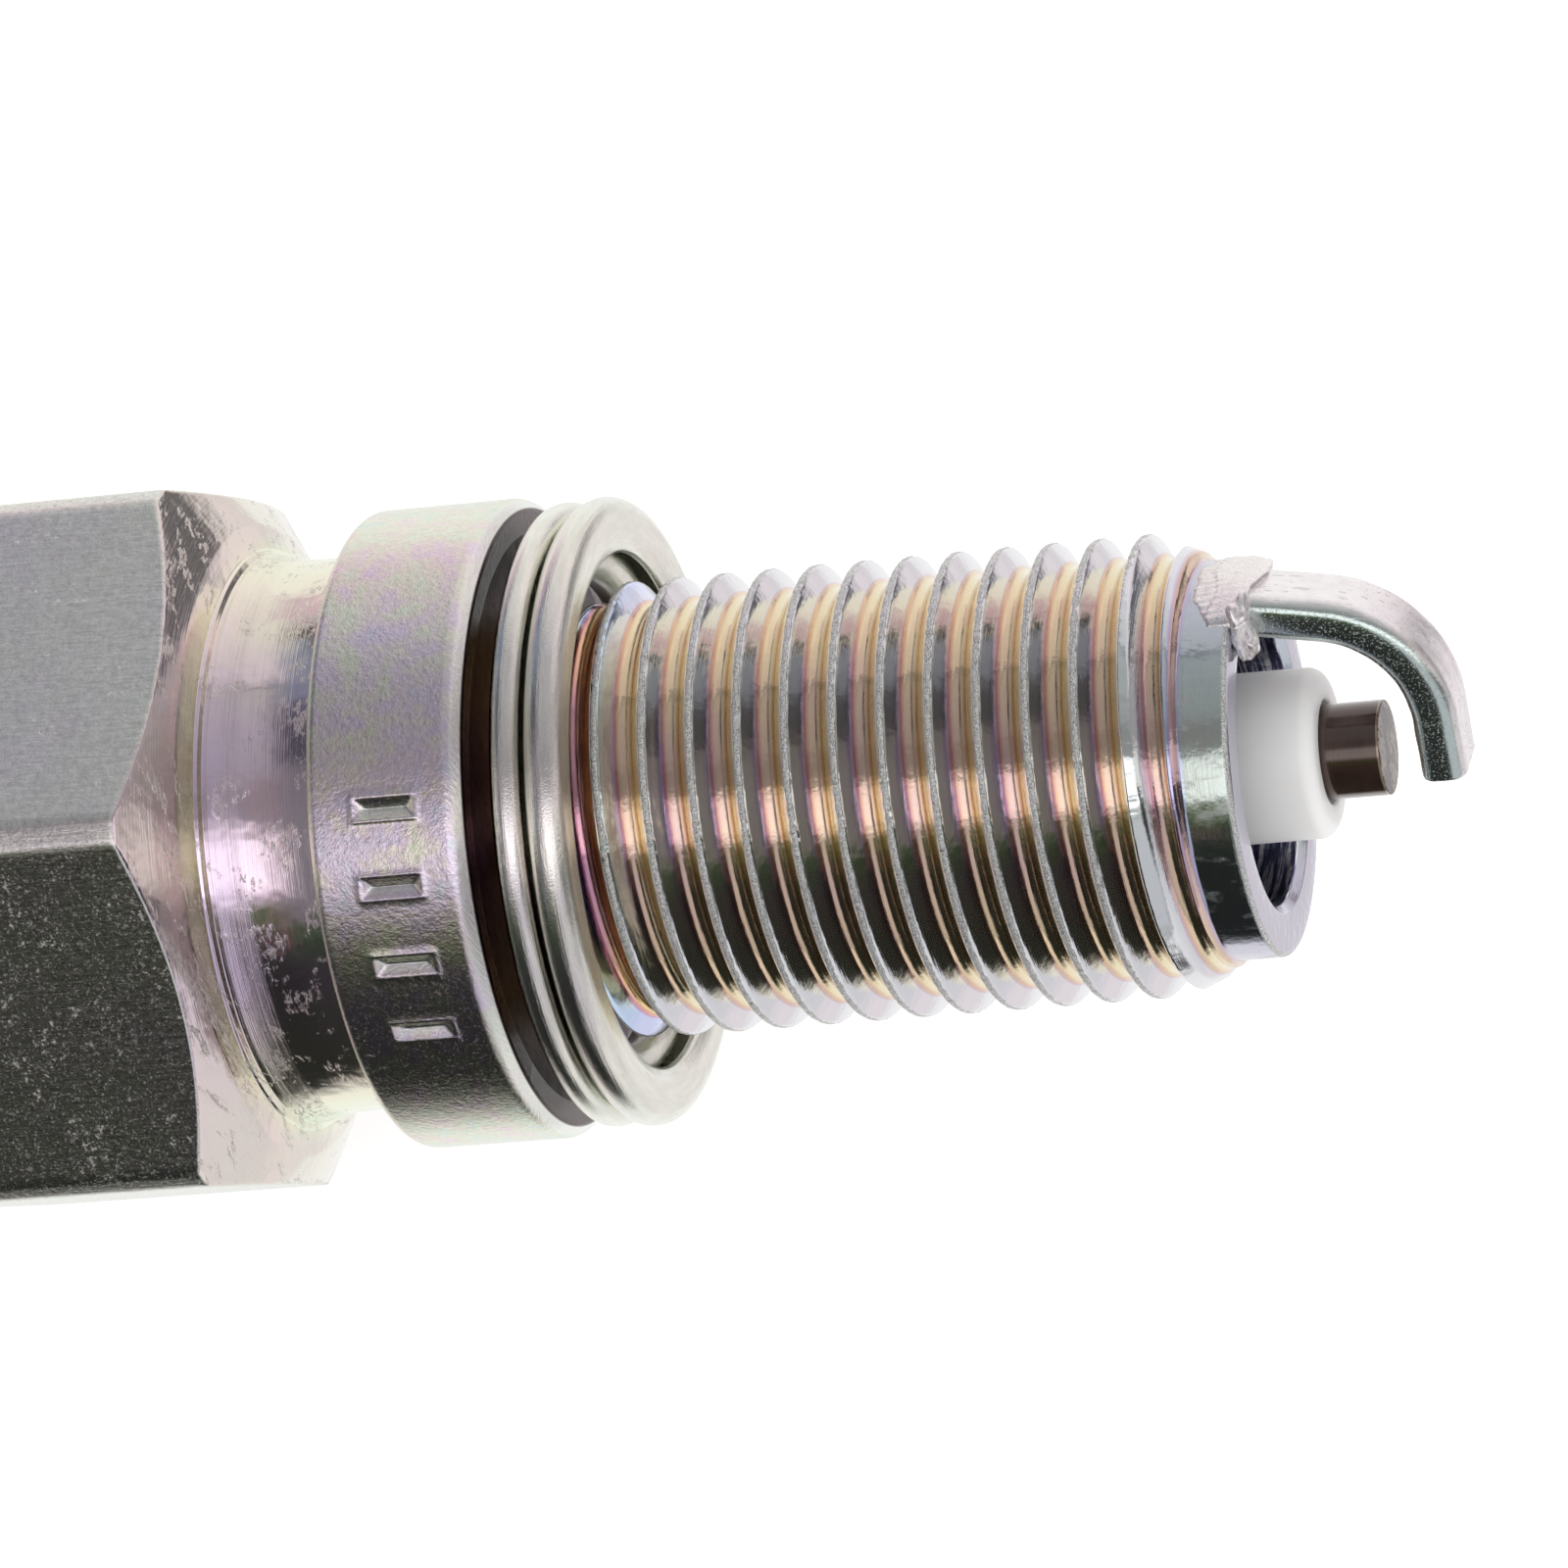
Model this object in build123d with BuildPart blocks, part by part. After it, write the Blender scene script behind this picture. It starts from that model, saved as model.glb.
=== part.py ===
"""Spark plug with an M12 x 1.25 thread, 19 mm reach and an 18 mm hexagon.

The plug's axis is the X axis. The origin is on the axis, in the plane of the seat face that the gasket
bears against, and the firing end points to +X. The plug lies on a hexagon flat, so +Z is up.
Units are millimetres.
"""

from build123d import *
import math
import os

# ---------------------------------------------------------------- thread and firing end of the shell
reach = 19.0
thread_pitch = 1.25
thread_major_r = 5.92
thread_root_r = 5.23
crest_land = 0.15
flank_tan = math.tan(math.radians(30))
groove_turns = 14
groove_start_x = 0.861
pilot_r = 5.10
relief_r = 5.10
relief_end_x = 1.30
relief_cone_len = 0.70
runout_start_x = 16.35
runout_lip_x = 17.62
runout_lip_r = 5.36
pilot_start_x = 17.75
pilot_edge = 0.15
mouth_r = 4.00
mouth_chamfer = 0.22
nose_bore_r = mouth_r - mouth_chamfer
groove_overcut = 0.08

# ---------------------------------------------------------------- collar, neck and hexagon
collar_r = 8.33
collar_len = 4.10
collar_bevel = 0.30
neck_r = 7.30
neck_end_x = -7.00
neck_groove_depth = 0.05
shoulder_r = 7.60
shoulder_x = -7.31
shoulder_bulge_x = 0.08
shoulder_bulge_r = 0.06
across_flats = 18.0
flat_r = across_flats / 2
hex_corner_r = 10.20
hex_front_x = -7.89
hex_back_x = -17.00
chamfer_tan = math.tan(math.radians(30))
rim_r = 7.50
rim_lip_r = 5.50
rim_bend_x = -18.00
rim_outer_bend = 1.30
rim_inner_bend = 0.40
cavity_ramp_front_x = -8.40
cavity_ramp_back_x = -9.50
cutter_overrun = 1.00

# ---------------------------------------------------------------- insulator
nose_tip_x = 20.50
nose_r = 2.18
nose_edge_r = 0.80
nose_hole_r = 1.32
nose_straight_x = 15.00
nose_base_x = 9.60
nose_base_r = 3.40
middle_r = 4.20
bore_middle_r = 4.30
flange_r = 6.40
cavity_r = 6.50
flange_ramp_x = -8.90
flange_front_x = -10.00
flange_back_x = -13.40
packed_r = 5.10
upper_front_x = -14.10
upper_r = 5.20
glaze_start_x = -19.35
rib_groove_r = 0.85
rib_first_x = -25.40
rib_pitch = 2.40
rib_grooves = 5
top_neck_r = 4.70
top_neck_x = -36.60
top_cone_len = 0.70
insulator_top_x = -41.00
top_edge_r = 0.70
counterbore_r = 1.95
counterbore_x = -0.60

# ---------------------------------------------------------------- seat packing between shell and insulator
ledge_x = 9.20
ledge_tan = math.tan(math.radians(30))
packing_thickness = 0.35

# ---------------------------------------------------------------- electrodes
electrode_tip_x = 22.00
electrode_r = 1.22
electrode_edge = 0.06
core_r = 0.62
core_tip_x = 19.60
head_r = 1.75
head_back_x = -1.40
spark_gap = 0.90
side_thickness = 1.15
side_width = 2.10
side_edge_r = 0.28
side_lean = 8.4
side_bend_r = 3.60
side_bend_n = 1.00
side_tip_n = -0.50
side_angle = 60.0
weld_height = 0.75
weld_inner_n = 4.05
weld_outer_n = 4.98
weld_half_width = 1.50
weld_corner_r = 0.25
weld_taper = 12.0

# ---------------------------------------------------------------- gasket, a folded strip of sheet steel
sheet = 0.36
gasket_edge_r = 6.90
gasket_front_x = 2.37
gasket_lobe_n = 7.62
gasket_lobe_r = 0.35
gasket_fold_n = 6.66
gasket_fold_r = 0.44
gasket_hem_n = 7.70
gasket_hem_r = 0.22
gasket_hem_end_n = 7.30

# ---------------------------------------------------------------- seals, resistor, stud and terminal nut
lower_seal_back_x = -4.60
resistor_back_x = -13.60
upper_seal_back_x = -17.60
stud_root_x = -15.20
stud_root_r = 1.50
stud_r = 1.85
stud_flange_r = 2.60
stud_flange_back_x = -41.60
stud_thread_r = 1.94
stud_end_x = -49.40
stud_end_chamfer = 0.40
nut_top_x = -50.50
nut_bore_r = 2.00
nut_bore_end_x = -49.70
nut_r = 3.175
nut_waist_r = 2.62
nut_base_len = 3.40
nut_waist_len = 2.00
nut_cone_len = 0.60
nut_top_r = 2.30
lower_wire_r = 0.50
lower_wire_x = -14.85
upper_wire_r = 0.45
upper_wire_x = -17.90
upper_wire_drop = 0.08
talc_front_x = -15.40
talc_back_x = -17.40

os.makedirs("parts", exist_ok=True)


def save(piece, name):
    """Label a finished piece and write it to its own STEP file."""
    piece.part.label = name
    export_step(piece.part, f"parts/{name}.step")


def ledge(radius):
    """X of the conical ledge in the shell bore, at the given radius."""
    return ledge_x - ledge_tan * (radius - nose_bore_r)


# ================================================================ shell
shoulder_mid_x = (shoulder_x + hex_front_x) / 2 + shoulder_bulge_x
shoulder_mid_r = (shoulder_r + flat_r) / 2 + shoulder_bulge_r
chamfer_dx = chamfer_tan * (hex_corner_r - flat_r)

with BuildPart() as shell:
    # hexagon prism, trimmed by a turned envelope that gives the domed shoulder and both corner chamfers
    with BuildSketch(Plane.YZ.offset(hex_back_x)):
        RegularPolygon(flat_r, 6, major_radius=False)
    extrude(amount=shoulder_x - hex_back_x)
    with BuildSketch(Plane.XY):
        with BuildLine():
            Polyline((shoulder_x, 0), (shoulder_x, shoulder_r))
            ThreePointArc(
                (shoulder_x, shoulder_r), (shoulder_mid_x, shoulder_mid_r), (hex_front_x, flat_r)
            )
            Polyline(
                (hex_front_x, flat_r),
                (hex_front_x - chamfer_dx, hex_corner_r),
                (hex_back_x + chamfer_dx, hex_corner_r),
                (hex_back_x, flat_r),
                (hex_back_x, 0),
                (shoulder_x, 0),
            )
        make_face()
    revolve(axis=Axis.X, mode=Mode.INTERSECT)

    # neck, collar, threaded barrel and pilot
    with BuildSketch(Plane.XY):
        with BuildLine():
            Polyline(
                (shoulder_x, 0),
                (shoulder_x, shoulder_r - neck_groove_depth),
                (neck_end_x, neck_r),
                (-collar_len, neck_r),
                (-collar_len, collar_r - collar_bevel),
                (-collar_len + collar_bevel, collar_r),
                (-collar_bevel, collar_r),
                (0, collar_r - collar_bevel),
                (0, relief_r),
                (relief_end_x, relief_r),
                (relief_end_x + relief_cone_len, thread_major_r),
                (runout_start_x, thread_major_r),
                (runout_lip_x, runout_lip_r),
                (pilot_start_x, pilot_r),
                (reach - pilot_edge, pilot_r),
                (reach, pilot_r - pilot_edge),
                (reach, 0),
                (shoulder_x, 0),
            )
        make_face()
    revolve(axis=Axis.X)

    # crimped rim, curled in over the packing
    with BuildSketch(Plane.XY):
        with BuildLine():
            Polyline((hex_back_x, 0), (hex_back_x, rim_r), (rim_bend_x, rim_r))
            RadiusArc(
                (rim_bend_x, rim_r),
                (rim_bend_x - rim_outer_bend, rim_r - rim_outer_bend),
                -rim_outer_bend,
            )
            Polyline(
                (rim_bend_x - rim_outer_bend, rim_r - rim_outer_bend),
                (rim_bend_x - rim_outer_bend, 0),
                (hex_back_x, 0),
            )
        make_face()
    revolve(axis=Axis.X)

    # stepped bore: mouth chamfer, nose bore, seat ledge, middle bore, packing cavity and lip hole
    with BuildSketch(Plane.XY):
        with BuildLine():
            Polyline(
                (rim_bend_x - rim_outer_bend - cutter_overrun, 0),
                (reach + cutter_overrun, 0),
                (reach + cutter_overrun, mouth_r),
                (reach, mouth_r),
                (reach - mouth_chamfer, nose_bore_r),
                (ledge(nose_bore_r), nose_bore_r),
                (ledge(bore_middle_r), bore_middle_r),
                (cavity_ramp_front_x, bore_middle_r),
                (cavity_ramp_back_x, cavity_r),
                (rim_bend_x, cavity_r),
            )
            RadiusArc(
                (rim_bend_x, cavity_r),
                (rim_bend_x - rim_inner_bend, cavity_r - rim_inner_bend),
                -rim_inner_bend,
            )
            Polyline(
                (rim_bend_x - rim_inner_bend, cavity_r - rim_inner_bend),
                (rim_bend_x - rim_inner_bend, rim_lip_r),
                (rim_bend_x - rim_outer_bend - cutter_overrun, rim_lip_r),
                (rim_bend_x - rim_outer_bend - cutter_overrun, 0),
            )
        make_face()
    revolve(axis=Axis.X, mode=Mode.SUBTRACT)

    # right-hand thread groove with 60 degree flanks and a round root
    half_open = (thread_pitch - crest_land) / 2 + groove_overcut * flank_tan
    apex_r = thread_major_r - (thread_pitch - crest_land) / 2 / flank_tan
    root_arc_r = thread_root_r - apex_r
    tangent_half = root_arc_r * math.cos(math.radians(30))
    tangent_r = apex_r + tangent_half / flank_tan
    with BuildLine() as groove_path:
        Helix(
            thread_pitch,
            thread_pitch * groove_turns,
            thread_major_r,
            center=(groove_start_x, 0, 0),
            direction=(1, 0, 0),
        )
    groove_start = groove_path.line @ 0
    outward = Vector(0, groove_start.Y, groove_start.Z).normalized()
    start_plane = Plane(origin=groove_start, x_dir=outward, z_dir=groove_path.line % 0)
    with BuildSketch(start_plane):
        with BuildLine():
            Polyline(
                (tangent_r - thread_major_r, tangent_half),
                (groove_overcut, half_open),
                (groove_overcut, -half_open),
                (tangent_r - thread_major_r, -tangent_half),
            )
            ThreePointArc(
                (tangent_r - thread_major_r, -tangent_half),
                (thread_root_r - thread_major_r, 0),
                (tangent_r - thread_major_r, tangent_half),
            )
        make_face()
    sweep(path=groove_path.line, is_frenet=True, mode=Mode.SUBTRACT)
save(shell, "shell")

# ================================================================ gasket
leg_b_x = gasket_front_x - 2 * gasket_lobe_r
leg_c_x = leg_b_x - 2 * gasket_fold_r
leg_d_x = leg_c_x + 2 * gasket_hem_r


def fold(x_from, x_to, radius, bulge):
    """Half-round fold between two legs of the strip, bulging outward or, if negative, towards the axis."""
    ThreePointArc((x_from, radius), ((x_from + x_to) / 2, radius + bulge), (x_to, radius))


with BuildPart() as gasket:
    with BuildSketch(Plane.XY):
        with BuildLine():
            Line((gasket_front_x, gasket_edge_r), (gasket_front_x, gasket_lobe_n))
            fold(gasket_front_x, leg_b_x, gasket_lobe_n, gasket_lobe_r)
            Line((leg_b_x, gasket_lobe_n), (leg_b_x, gasket_fold_n))
            fold(leg_b_x, leg_c_x, gasket_fold_n, -gasket_fold_r)
            Line((leg_c_x, gasket_fold_n), (leg_c_x, gasket_hem_n))
            fold(leg_c_x, leg_d_x, gasket_hem_n, gasket_hem_r)
            Line((leg_d_x, gasket_hem_n), (leg_d_x, gasket_hem_end_n))
        trace(line_width=sheet)
    revolve(axis=Axis.X)
save(gasket, "gasket")

# ================================================================ ground electrode and its weld
lean = math.radians(side_lean)
side_outer_x = electrode_tip_x + spark_gap + side_thickness
bend_center_x = side_outer_x - side_bend_r
inner_bend_r = side_bend_r - side_thickness
side_plane = Plane(
    origin=(0, 0, 0),
    x_dir=(1, 0, 0),
    z_dir=(0, -math.sin(math.radians(side_angle)), math.cos(math.radians(side_angle))),
)


def bend_point(radius, turn):
    """Point on the electrode's bend, turned from the axis direction by the given angle in radians."""
    return (bend_center_x + radius * math.sin(turn), side_bend_n + radius * math.cos(turn))


def leg_foot(radius):
    """Foot of the leaning leg, in the plane of the shell's end face."""
    start = bend_point(radius, lean)
    return (reach, start[1] + (start[0] - reach) * math.tan(lean))


with BuildPart() as ground_electrode:
    with BuildSketch(side_plane):
        half_turn = (lean + math.pi / 2) / 2
        with BuildLine():
            Line(leg_foot(side_bend_r), bend_point(side_bend_r, lean))
            ThreePointArc(
                bend_point(side_bend_r, lean),
                bend_point(side_bend_r, half_turn),
                bend_point(side_bend_r, math.pi / 2),
            )
            Polyline(
                bend_point(side_bend_r, math.pi / 2),
                (side_outer_x, side_tip_n),
                (side_outer_x - side_thickness, side_tip_n),
                bend_point(inner_bend_r, math.pi / 2),
            )
            ThreePointArc(
                bend_point(inner_bend_r, math.pi / 2),
                bend_point(inner_bend_r, half_turn),
                bend_point(inner_bend_r, lean),
            )
            Polyline(bend_point(inner_bend_r, lean), leg_foot(inner_bend_r), leg_foot(side_bend_r))
        make_face()
    extrude(amount=side_width / 2, both=True)
    side_faces = ground_electrode.faces().filter_by(Axis((0, 0, 0), side_plane.z_dir))
    foot_face = ground_electrode.faces().filter_by(Axis.X).sort_by(Axis.X)[0]
    long_edges = side_faces.edges() - foot_face.edges()
    fillet(long_edges, side_edge_r)
save(ground_electrode, "ground_electrode")

with BuildPart() as ground_electrode_weld:
    weld_mid_n = (weld_inner_n + weld_outer_n) / 2
    outward_dir = side_plane.y_dir
    weld_origin = Vector(reach, 0, 0) + outward_dir * weld_mid_n
    weld_plane = Plane(origin=weld_origin, x_dir=outward_dir, z_dir=(1, 0, 0))
    with BuildSketch(weld_plane):
        RectangleRounded(weld_outer_n - weld_inner_n, 2 * weld_half_width, weld_corner_r)
    extrude(amount=weld_height, taper=weld_taper)
    add(ground_electrode.part, mode=Mode.SUBTRACT)
save(ground_electrode_weld, "ground_electrode_weld")

# ================================================================ insulator
with BuildPart() as insulator:
    with BuildSketch(Plane.XY):
        with BuildLine():
            Line((nose_tip_x, nose_hole_r), (nose_tip_x, nose_r - nose_edge_r))
            RadiusArc((nose_tip_x, nose_r - nose_edge_r), (nose_tip_x - nose_edge_r, nose_r), -nose_edge_r)
            Polyline(
                (nose_tip_x - nose_edge_r, nose_r),
                (nose_straight_x, nose_r),
                (nose_base_x, nose_base_r),
                (ledge(nose_base_r) - packing_thickness, nose_base_r),
                (ledge(middle_r) - packing_thickness, middle_r),
                (flange_ramp_x, middle_r),
                (flange_front_x, flange_r),
                (flange_back_x, flange_r),
                (upper_front_x, packed_r),
                (glaze_start_x, packed_r),
                (glaze_start_x, upper_r),
                (top_neck_x + top_cone_len, upper_r),
                (top_neck_x, top_neck_r),
                (insulator_top_x + top_edge_r, top_neck_r),
            )
            RadiusArc(
                (insulator_top_x + top_edge_r, top_neck_r),
                (insulator_top_x, top_neck_r - top_edge_r),
                -top_edge_r,
            )
            Polyline(
                (insulator_top_x, top_neck_r - top_edge_r),
                (insulator_top_x, counterbore_r),
                (counterbore_x, counterbore_r),
                (counterbore_x, nose_hole_r),
                (nose_tip_x, nose_hole_r),
            )
        make_face()
    revolve(axis=Axis.X)
    with BuildSketch(Plane.XY):
        for rib in range(rib_grooves):
            with Locations((rib_first_x - rib * rib_pitch, upper_r)):
                Circle(rib_groove_r)
    revolve(axis=Axis.X, mode=Mode.SUBTRACT)
save(insulator, "insulator")

# ================================================================ centre electrode
with BuildPart() as center_electrode:
    with BuildSketch(Plane.XY):
        with BuildLine():
            Polyline(
                (electrode_tip_x, 0),
                (electrode_tip_x, electrode_r - electrode_edge),
                (electrode_tip_x - electrode_edge, electrode_r),
                (counterbore_x, electrode_r),
                (counterbore_x, head_r),
                (head_back_x, head_r),
                (head_back_x, core_r),
                (core_tip_x, core_r),
                (core_tip_x, 0),
                (electrode_tip_x, 0),
            )
        make_face()
    revolve(axis=Axis.X)
save(center_electrode, "center_electrode")

with BuildPart() as center_electrode_core:
    with BuildSketch(Plane.YZ.offset(head_back_x)):
        Circle(core_r)
    extrude(amount=core_tip_x - head_back_x)
save(center_electrode_core, "center_electrode_core")

# ================================================================ packing and wire rings
with BuildPart() as seat_packing:
    with BuildSketch(Plane.XY):
        with BuildLine():
            Polyline(
                (ledge(nose_bore_r), nose_bore_r),
                (ledge(middle_r), middle_r),
                (ledge(middle_r) - packing_thickness, middle_r),
                (ledge(nose_bore_r) - packing_thickness, nose_bore_r),
                (ledge(nose_bore_r), nose_bore_r),
            )
        make_face()
    revolve(axis=Axis.X)
save(seat_packing, "seat_packing")

wire_mid_r = (packed_r + cavity_r) / 2

with BuildPart() as lower_wire_ring:
    with BuildSketch(Plane.XY):
        with Locations((lower_wire_x, wire_mid_r)):
            Circle(lower_wire_r)
    revolve(axis=Axis.X)
save(lower_wire_ring, "lower_wire_ring")

with BuildPart() as upper_wire_ring:
    with BuildSketch(Plane.XY):
        with Locations((upper_wire_x, wire_mid_r - upper_wire_drop)):
            Circle(upper_wire_r)
    revolve(axis=Axis.X)
save(upper_wire_ring, "upper_wire_ring")

with BuildPart() as talc_packing:
    with BuildSketch(Plane.YZ.offset(talc_back_x)):
        Circle(cavity_r)
        Circle(packed_r, mode=Mode.SUBTRACT)
    extrude(amount=talc_front_x - talc_back_x)
save(talc_packing, "talc_packing")

# ================================================================ glass seals and resistor
with BuildPart() as lower_glass_seal:
    with BuildSketch(Plane.YZ.offset(lower_seal_back_x)):
        Circle(counterbore_r)
    extrude(amount=counterbore_x - lower_seal_back_x)
    with BuildSketch(Plane.YZ.offset(head_back_x)):
        Circle(head_r)
    extrude(amount=counterbore_x - head_back_x, mode=Mode.SUBTRACT)
save(lower_glass_seal, "lower_glass_seal")

with BuildPart() as resistor:
    with BuildSketch(Plane.YZ.offset(resistor_back_x)):
        Circle(counterbore_r)
    extrude(amount=lower_seal_back_x - resistor_back_x)
save(resistor, "resistor")

with BuildPart() as upper_glass_seal:
    with BuildSketch(Plane.YZ.offset(upper_seal_back_x)):
        Circle(counterbore_r)
    extrude(amount=resistor_back_x - upper_seal_back_x)
    with BuildSketch(Plane.YZ.offset(upper_seal_back_x)):
        Circle(stud_root_r)
    extrude(amount=stud_root_x - upper_seal_back_x, mode=Mode.SUBTRACT)
save(upper_glass_seal, "upper_glass_seal")

# ================================================================ terminal stud and nut
with BuildPart() as terminal_stud:
    with BuildSketch(Plane.XY):
        with BuildLine():
            Polyline(
                (stud_root_x, 0),
                (stud_root_x, stud_root_r),
                (upper_seal_back_x, stud_root_r),
                (upper_seal_back_x, stud_r),
                (insulator_top_x, stud_r),
                (insulator_top_x, stud_flange_r),
                (stud_flange_back_x, stud_flange_r),
                (stud_flange_back_x, stud_thread_r),
                (stud_end_x + stud_end_chamfer, stud_thread_r),
                (stud_end_x, stud_thread_r - stud_end_chamfer),
                (stud_end_x, 0),
                (stud_root_x, 0),
            )
        make_face()
    revolve(axis=Axis.X)
save(terminal_stud, "terminal_stud")

waist_front_x = stud_flange_back_x - nut_base_len
waist_back_x = waist_front_x - nut_waist_len

with BuildPart() as terminal_nut:
    with BuildSketch(Plane.XY):
        with BuildLine():
            Polyline(
                (stud_flange_back_x, nut_bore_r),
                (stud_flange_back_x, nut_r),
                (waist_front_x + (nut_r - nut_waist_r), nut_r),
                (waist_front_x, nut_waist_r),
                (waist_back_x, nut_waist_r),
                (waist_back_x - (nut_r - nut_waist_r), nut_r),
                (nut_top_x + nut_cone_len, nut_r),
                (nut_top_x, nut_top_r),
                (nut_top_x, 0),
                (nut_bore_end_x, 0),
                (nut_bore_end_x, nut_bore_r),
                (stud_flange_back_x, nut_bore_r),
            )
        make_face()
    revolve(axis=Axis.X)
save(terminal_nut, "terminal_nut")
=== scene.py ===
"""Spark plug: visual model, materials, studio and camera.

Units are metres in the part's own frame: the plug's axis is X, the firing end points to +X, the plug
lies on a hexagon flat and +Z is up. Profile sizes below are millimetres along the axis and from it.
"""

import math

import bmesh
import bpy
import numpy as np
from mathutils import Matrix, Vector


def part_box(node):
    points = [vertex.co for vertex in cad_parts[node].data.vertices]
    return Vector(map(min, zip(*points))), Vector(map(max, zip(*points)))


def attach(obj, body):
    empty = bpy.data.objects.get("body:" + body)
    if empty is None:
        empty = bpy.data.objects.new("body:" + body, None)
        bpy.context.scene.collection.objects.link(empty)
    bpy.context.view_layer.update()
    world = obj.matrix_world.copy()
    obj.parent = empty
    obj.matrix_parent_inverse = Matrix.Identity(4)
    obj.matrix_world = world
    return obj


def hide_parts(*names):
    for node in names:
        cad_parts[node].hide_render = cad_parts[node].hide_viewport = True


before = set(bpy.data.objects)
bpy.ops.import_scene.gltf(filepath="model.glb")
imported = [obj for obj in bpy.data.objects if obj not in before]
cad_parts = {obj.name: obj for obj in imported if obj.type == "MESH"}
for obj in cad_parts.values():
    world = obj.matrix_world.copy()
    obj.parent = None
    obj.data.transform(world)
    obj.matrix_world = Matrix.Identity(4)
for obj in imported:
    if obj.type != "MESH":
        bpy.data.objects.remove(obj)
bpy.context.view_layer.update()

MM = 0.001
TAU = 2 * math.pi


# ------------------------------------------------------------------ sizes taken from the frame
def span(node):
    """Lowest and highest corner of a node, in millimetres."""
    low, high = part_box(node)
    return np.array(low) / MM, np.array(high) / MM


shell_low, shell_high = span("shell")
REACH = shell_high[0]
RIM_X = shell_low[0]
FLAT_R = shell_high[2]
FLOOR_Z = shell_low[2]
GASKET_BACK, GASKET_FRONT = (corner[0] for corner in span("gasket"))
TOP_X, NOSE_TIP = (corner[0] for corner in span("insulator"))
ELECTRODE_TIP = span("center_electrode")[1][0]
HOOK_X = span("ground_electrode")[1][0]
STUD_END = span("terminal_stud")[0][0]
NUT_TOP, NUT_BASE = (corner[0] for corner in span("terminal_nut"))

TAN30 = math.tan(math.radians(30))
AXIS = np.array([1.0, 0.0, 0.0])

# Rolled thread. A crest's centre stands at CREST_X at the angle CREST_PSI round the axis.
PITCH = 1.25
MAJOR_R = 5.92
ROOT_R = 5.23
THREAD_LAND = 0.15
CREST_PSI = math.radians(33.5)
CREST_X = 16.29
THREAD_FROM = 0.95
THREAD_TO = 17.90

# Angle round the axis at which the side electrode stands.
SIDE_ANGLE = math.radians(60)


# ------------------------------------------------------------------ mesh helpers
def new_object(name, verts, faces, body, material=None, node=None):
    """Mesh object from millimetre vertices, smooth shaded, riding on a body."""
    mesh = bpy.data.meshes.new(name)
    mesh.from_pydata((np.asarray(verts) * MM).tolist(), [], faces)
    mesh.validate()
    shaped = bmesh.new()
    shaped.from_mesh(mesh)
    bmesh.ops.recalc_face_normals(shaped, faces=shaped.faces)
    shaped.to_mesh(mesh)
    shaped.free()
    mesh.shade_smooth()
    obj = bpy.data.objects.new(name, mesh)
    bpy.context.scene.collection.objects.link(obj)
    if material is not None:
        mesh.materials.append(material)
    if node is not None:
        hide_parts(node)
    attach(obj, body)
    return obj


def filleted(points, default=0.0):
    """Polyline from (x, r[, radius]) corners, each corner rounded by an arc of its radius."""
    out = []
    count = len(points)
    for i, point in enumerate(points):
        here = np.array(point[:2], float)
        radius = point[2] if len(point) > 2 else default
        if radius <= 0 or i in (0, count - 1):
            out.append(here)
            continue
        a = np.array(points[i - 1][:2], float) - here
        b = np.array(points[i + 1][:2], float) - here
        la, lb = np.linalg.norm(a), np.linalg.norm(b)
        a, b = a / la, b / lb
        half = math.acos(max(-1, min(1, float(a @ b)))) / 2
        cut = min(radius / math.tan(half), 0.49 * la, 0.49 * lb)
        radius = cut * math.tan(half)
        middle = (a + b) / np.linalg.norm(a + b) * radius / math.sin(half) + here
        start, end = here + a * cut - middle, here + b * cut - middle
        turn = math.pi - 2 * half
        steps = max(3, int(turn / math.radians(9)) + 1)
        sign = 1 if start[0] * end[1] - start[1] * end[0] > 0 else -1
        for k in range(steps + 1):
            t = sign * turn * k / steps
            c, s = math.cos(t), math.sin(t)
            out.append(middle + np.array([c * start[0] - s * start[1], s * start[0] + c * start[1]]))
    return np.array(out)


def densified(line, step):
    """The same polyline with no piece longer than step."""
    out = [line[0]]
    for a, b in zip(line[:-1], line[1:]):
        parts = max(1, int(math.ceil(np.linalg.norm(b - a) / step)))
        out += [a + (b - a) * k / parts for k in range(1, parts + 1)]
    return np.array(out)


def around_axis(x, r, psi):
    """Points at axial positions x and radii r, set round the axis at the angles psi."""
    return np.stack(np.broadcast_arrays(x, r * np.cos(psi), r * np.sin(psi)), -1).reshape(-1, 3)


def lathe(name, profile, body, node, material, segments, wobble=None):
    """Closed solid of revolution about X. A profile that starts and ends on the axis closes with caps."""
    psi = np.linspace(0, TAU, segments, endpoint=False)
    on_axis = profile[0, 1] < 1e-6 and profile[-1, 1] < 1e-6
    rings = profile[1:-1] if on_axis else profile
    x, r = rings[:, :1], rings[:, 1:2]
    if wobble is not None:
        x, r = wobble(x, r, psi)
    verts = around_axis(x, r, psi)
    faces = strips(len(rings), segments, closed=not on_axis)
    if on_axis:
        first, last = len(verts), len(verts) + 1
        verts = np.vstack([verts, [profile[0, 0], 0, 0], [profile[-1, 0], 0, 0]])
        base = (len(rings) - 1) * segments
        for j in range(segments):
            k = (j + 1) % segments
            faces.append((first, j, k))
            faces.append((last, base + k, base + j))
    return new_object(name, verts, faces, body, material, node)


def strips(rows, columns, closed=False):
    """Quads joining successive rings of vertices, wrapping round each ring."""
    faces = []
    for i in range(rows if closed else rows - 1):
        a, b = i * columns, ((i + 1) % rows) * columns
        for j in range(columns):
            k = (j + 1) % columns
            faces.append((a + j, b + j, b + k, a + k))
    return faces


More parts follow.
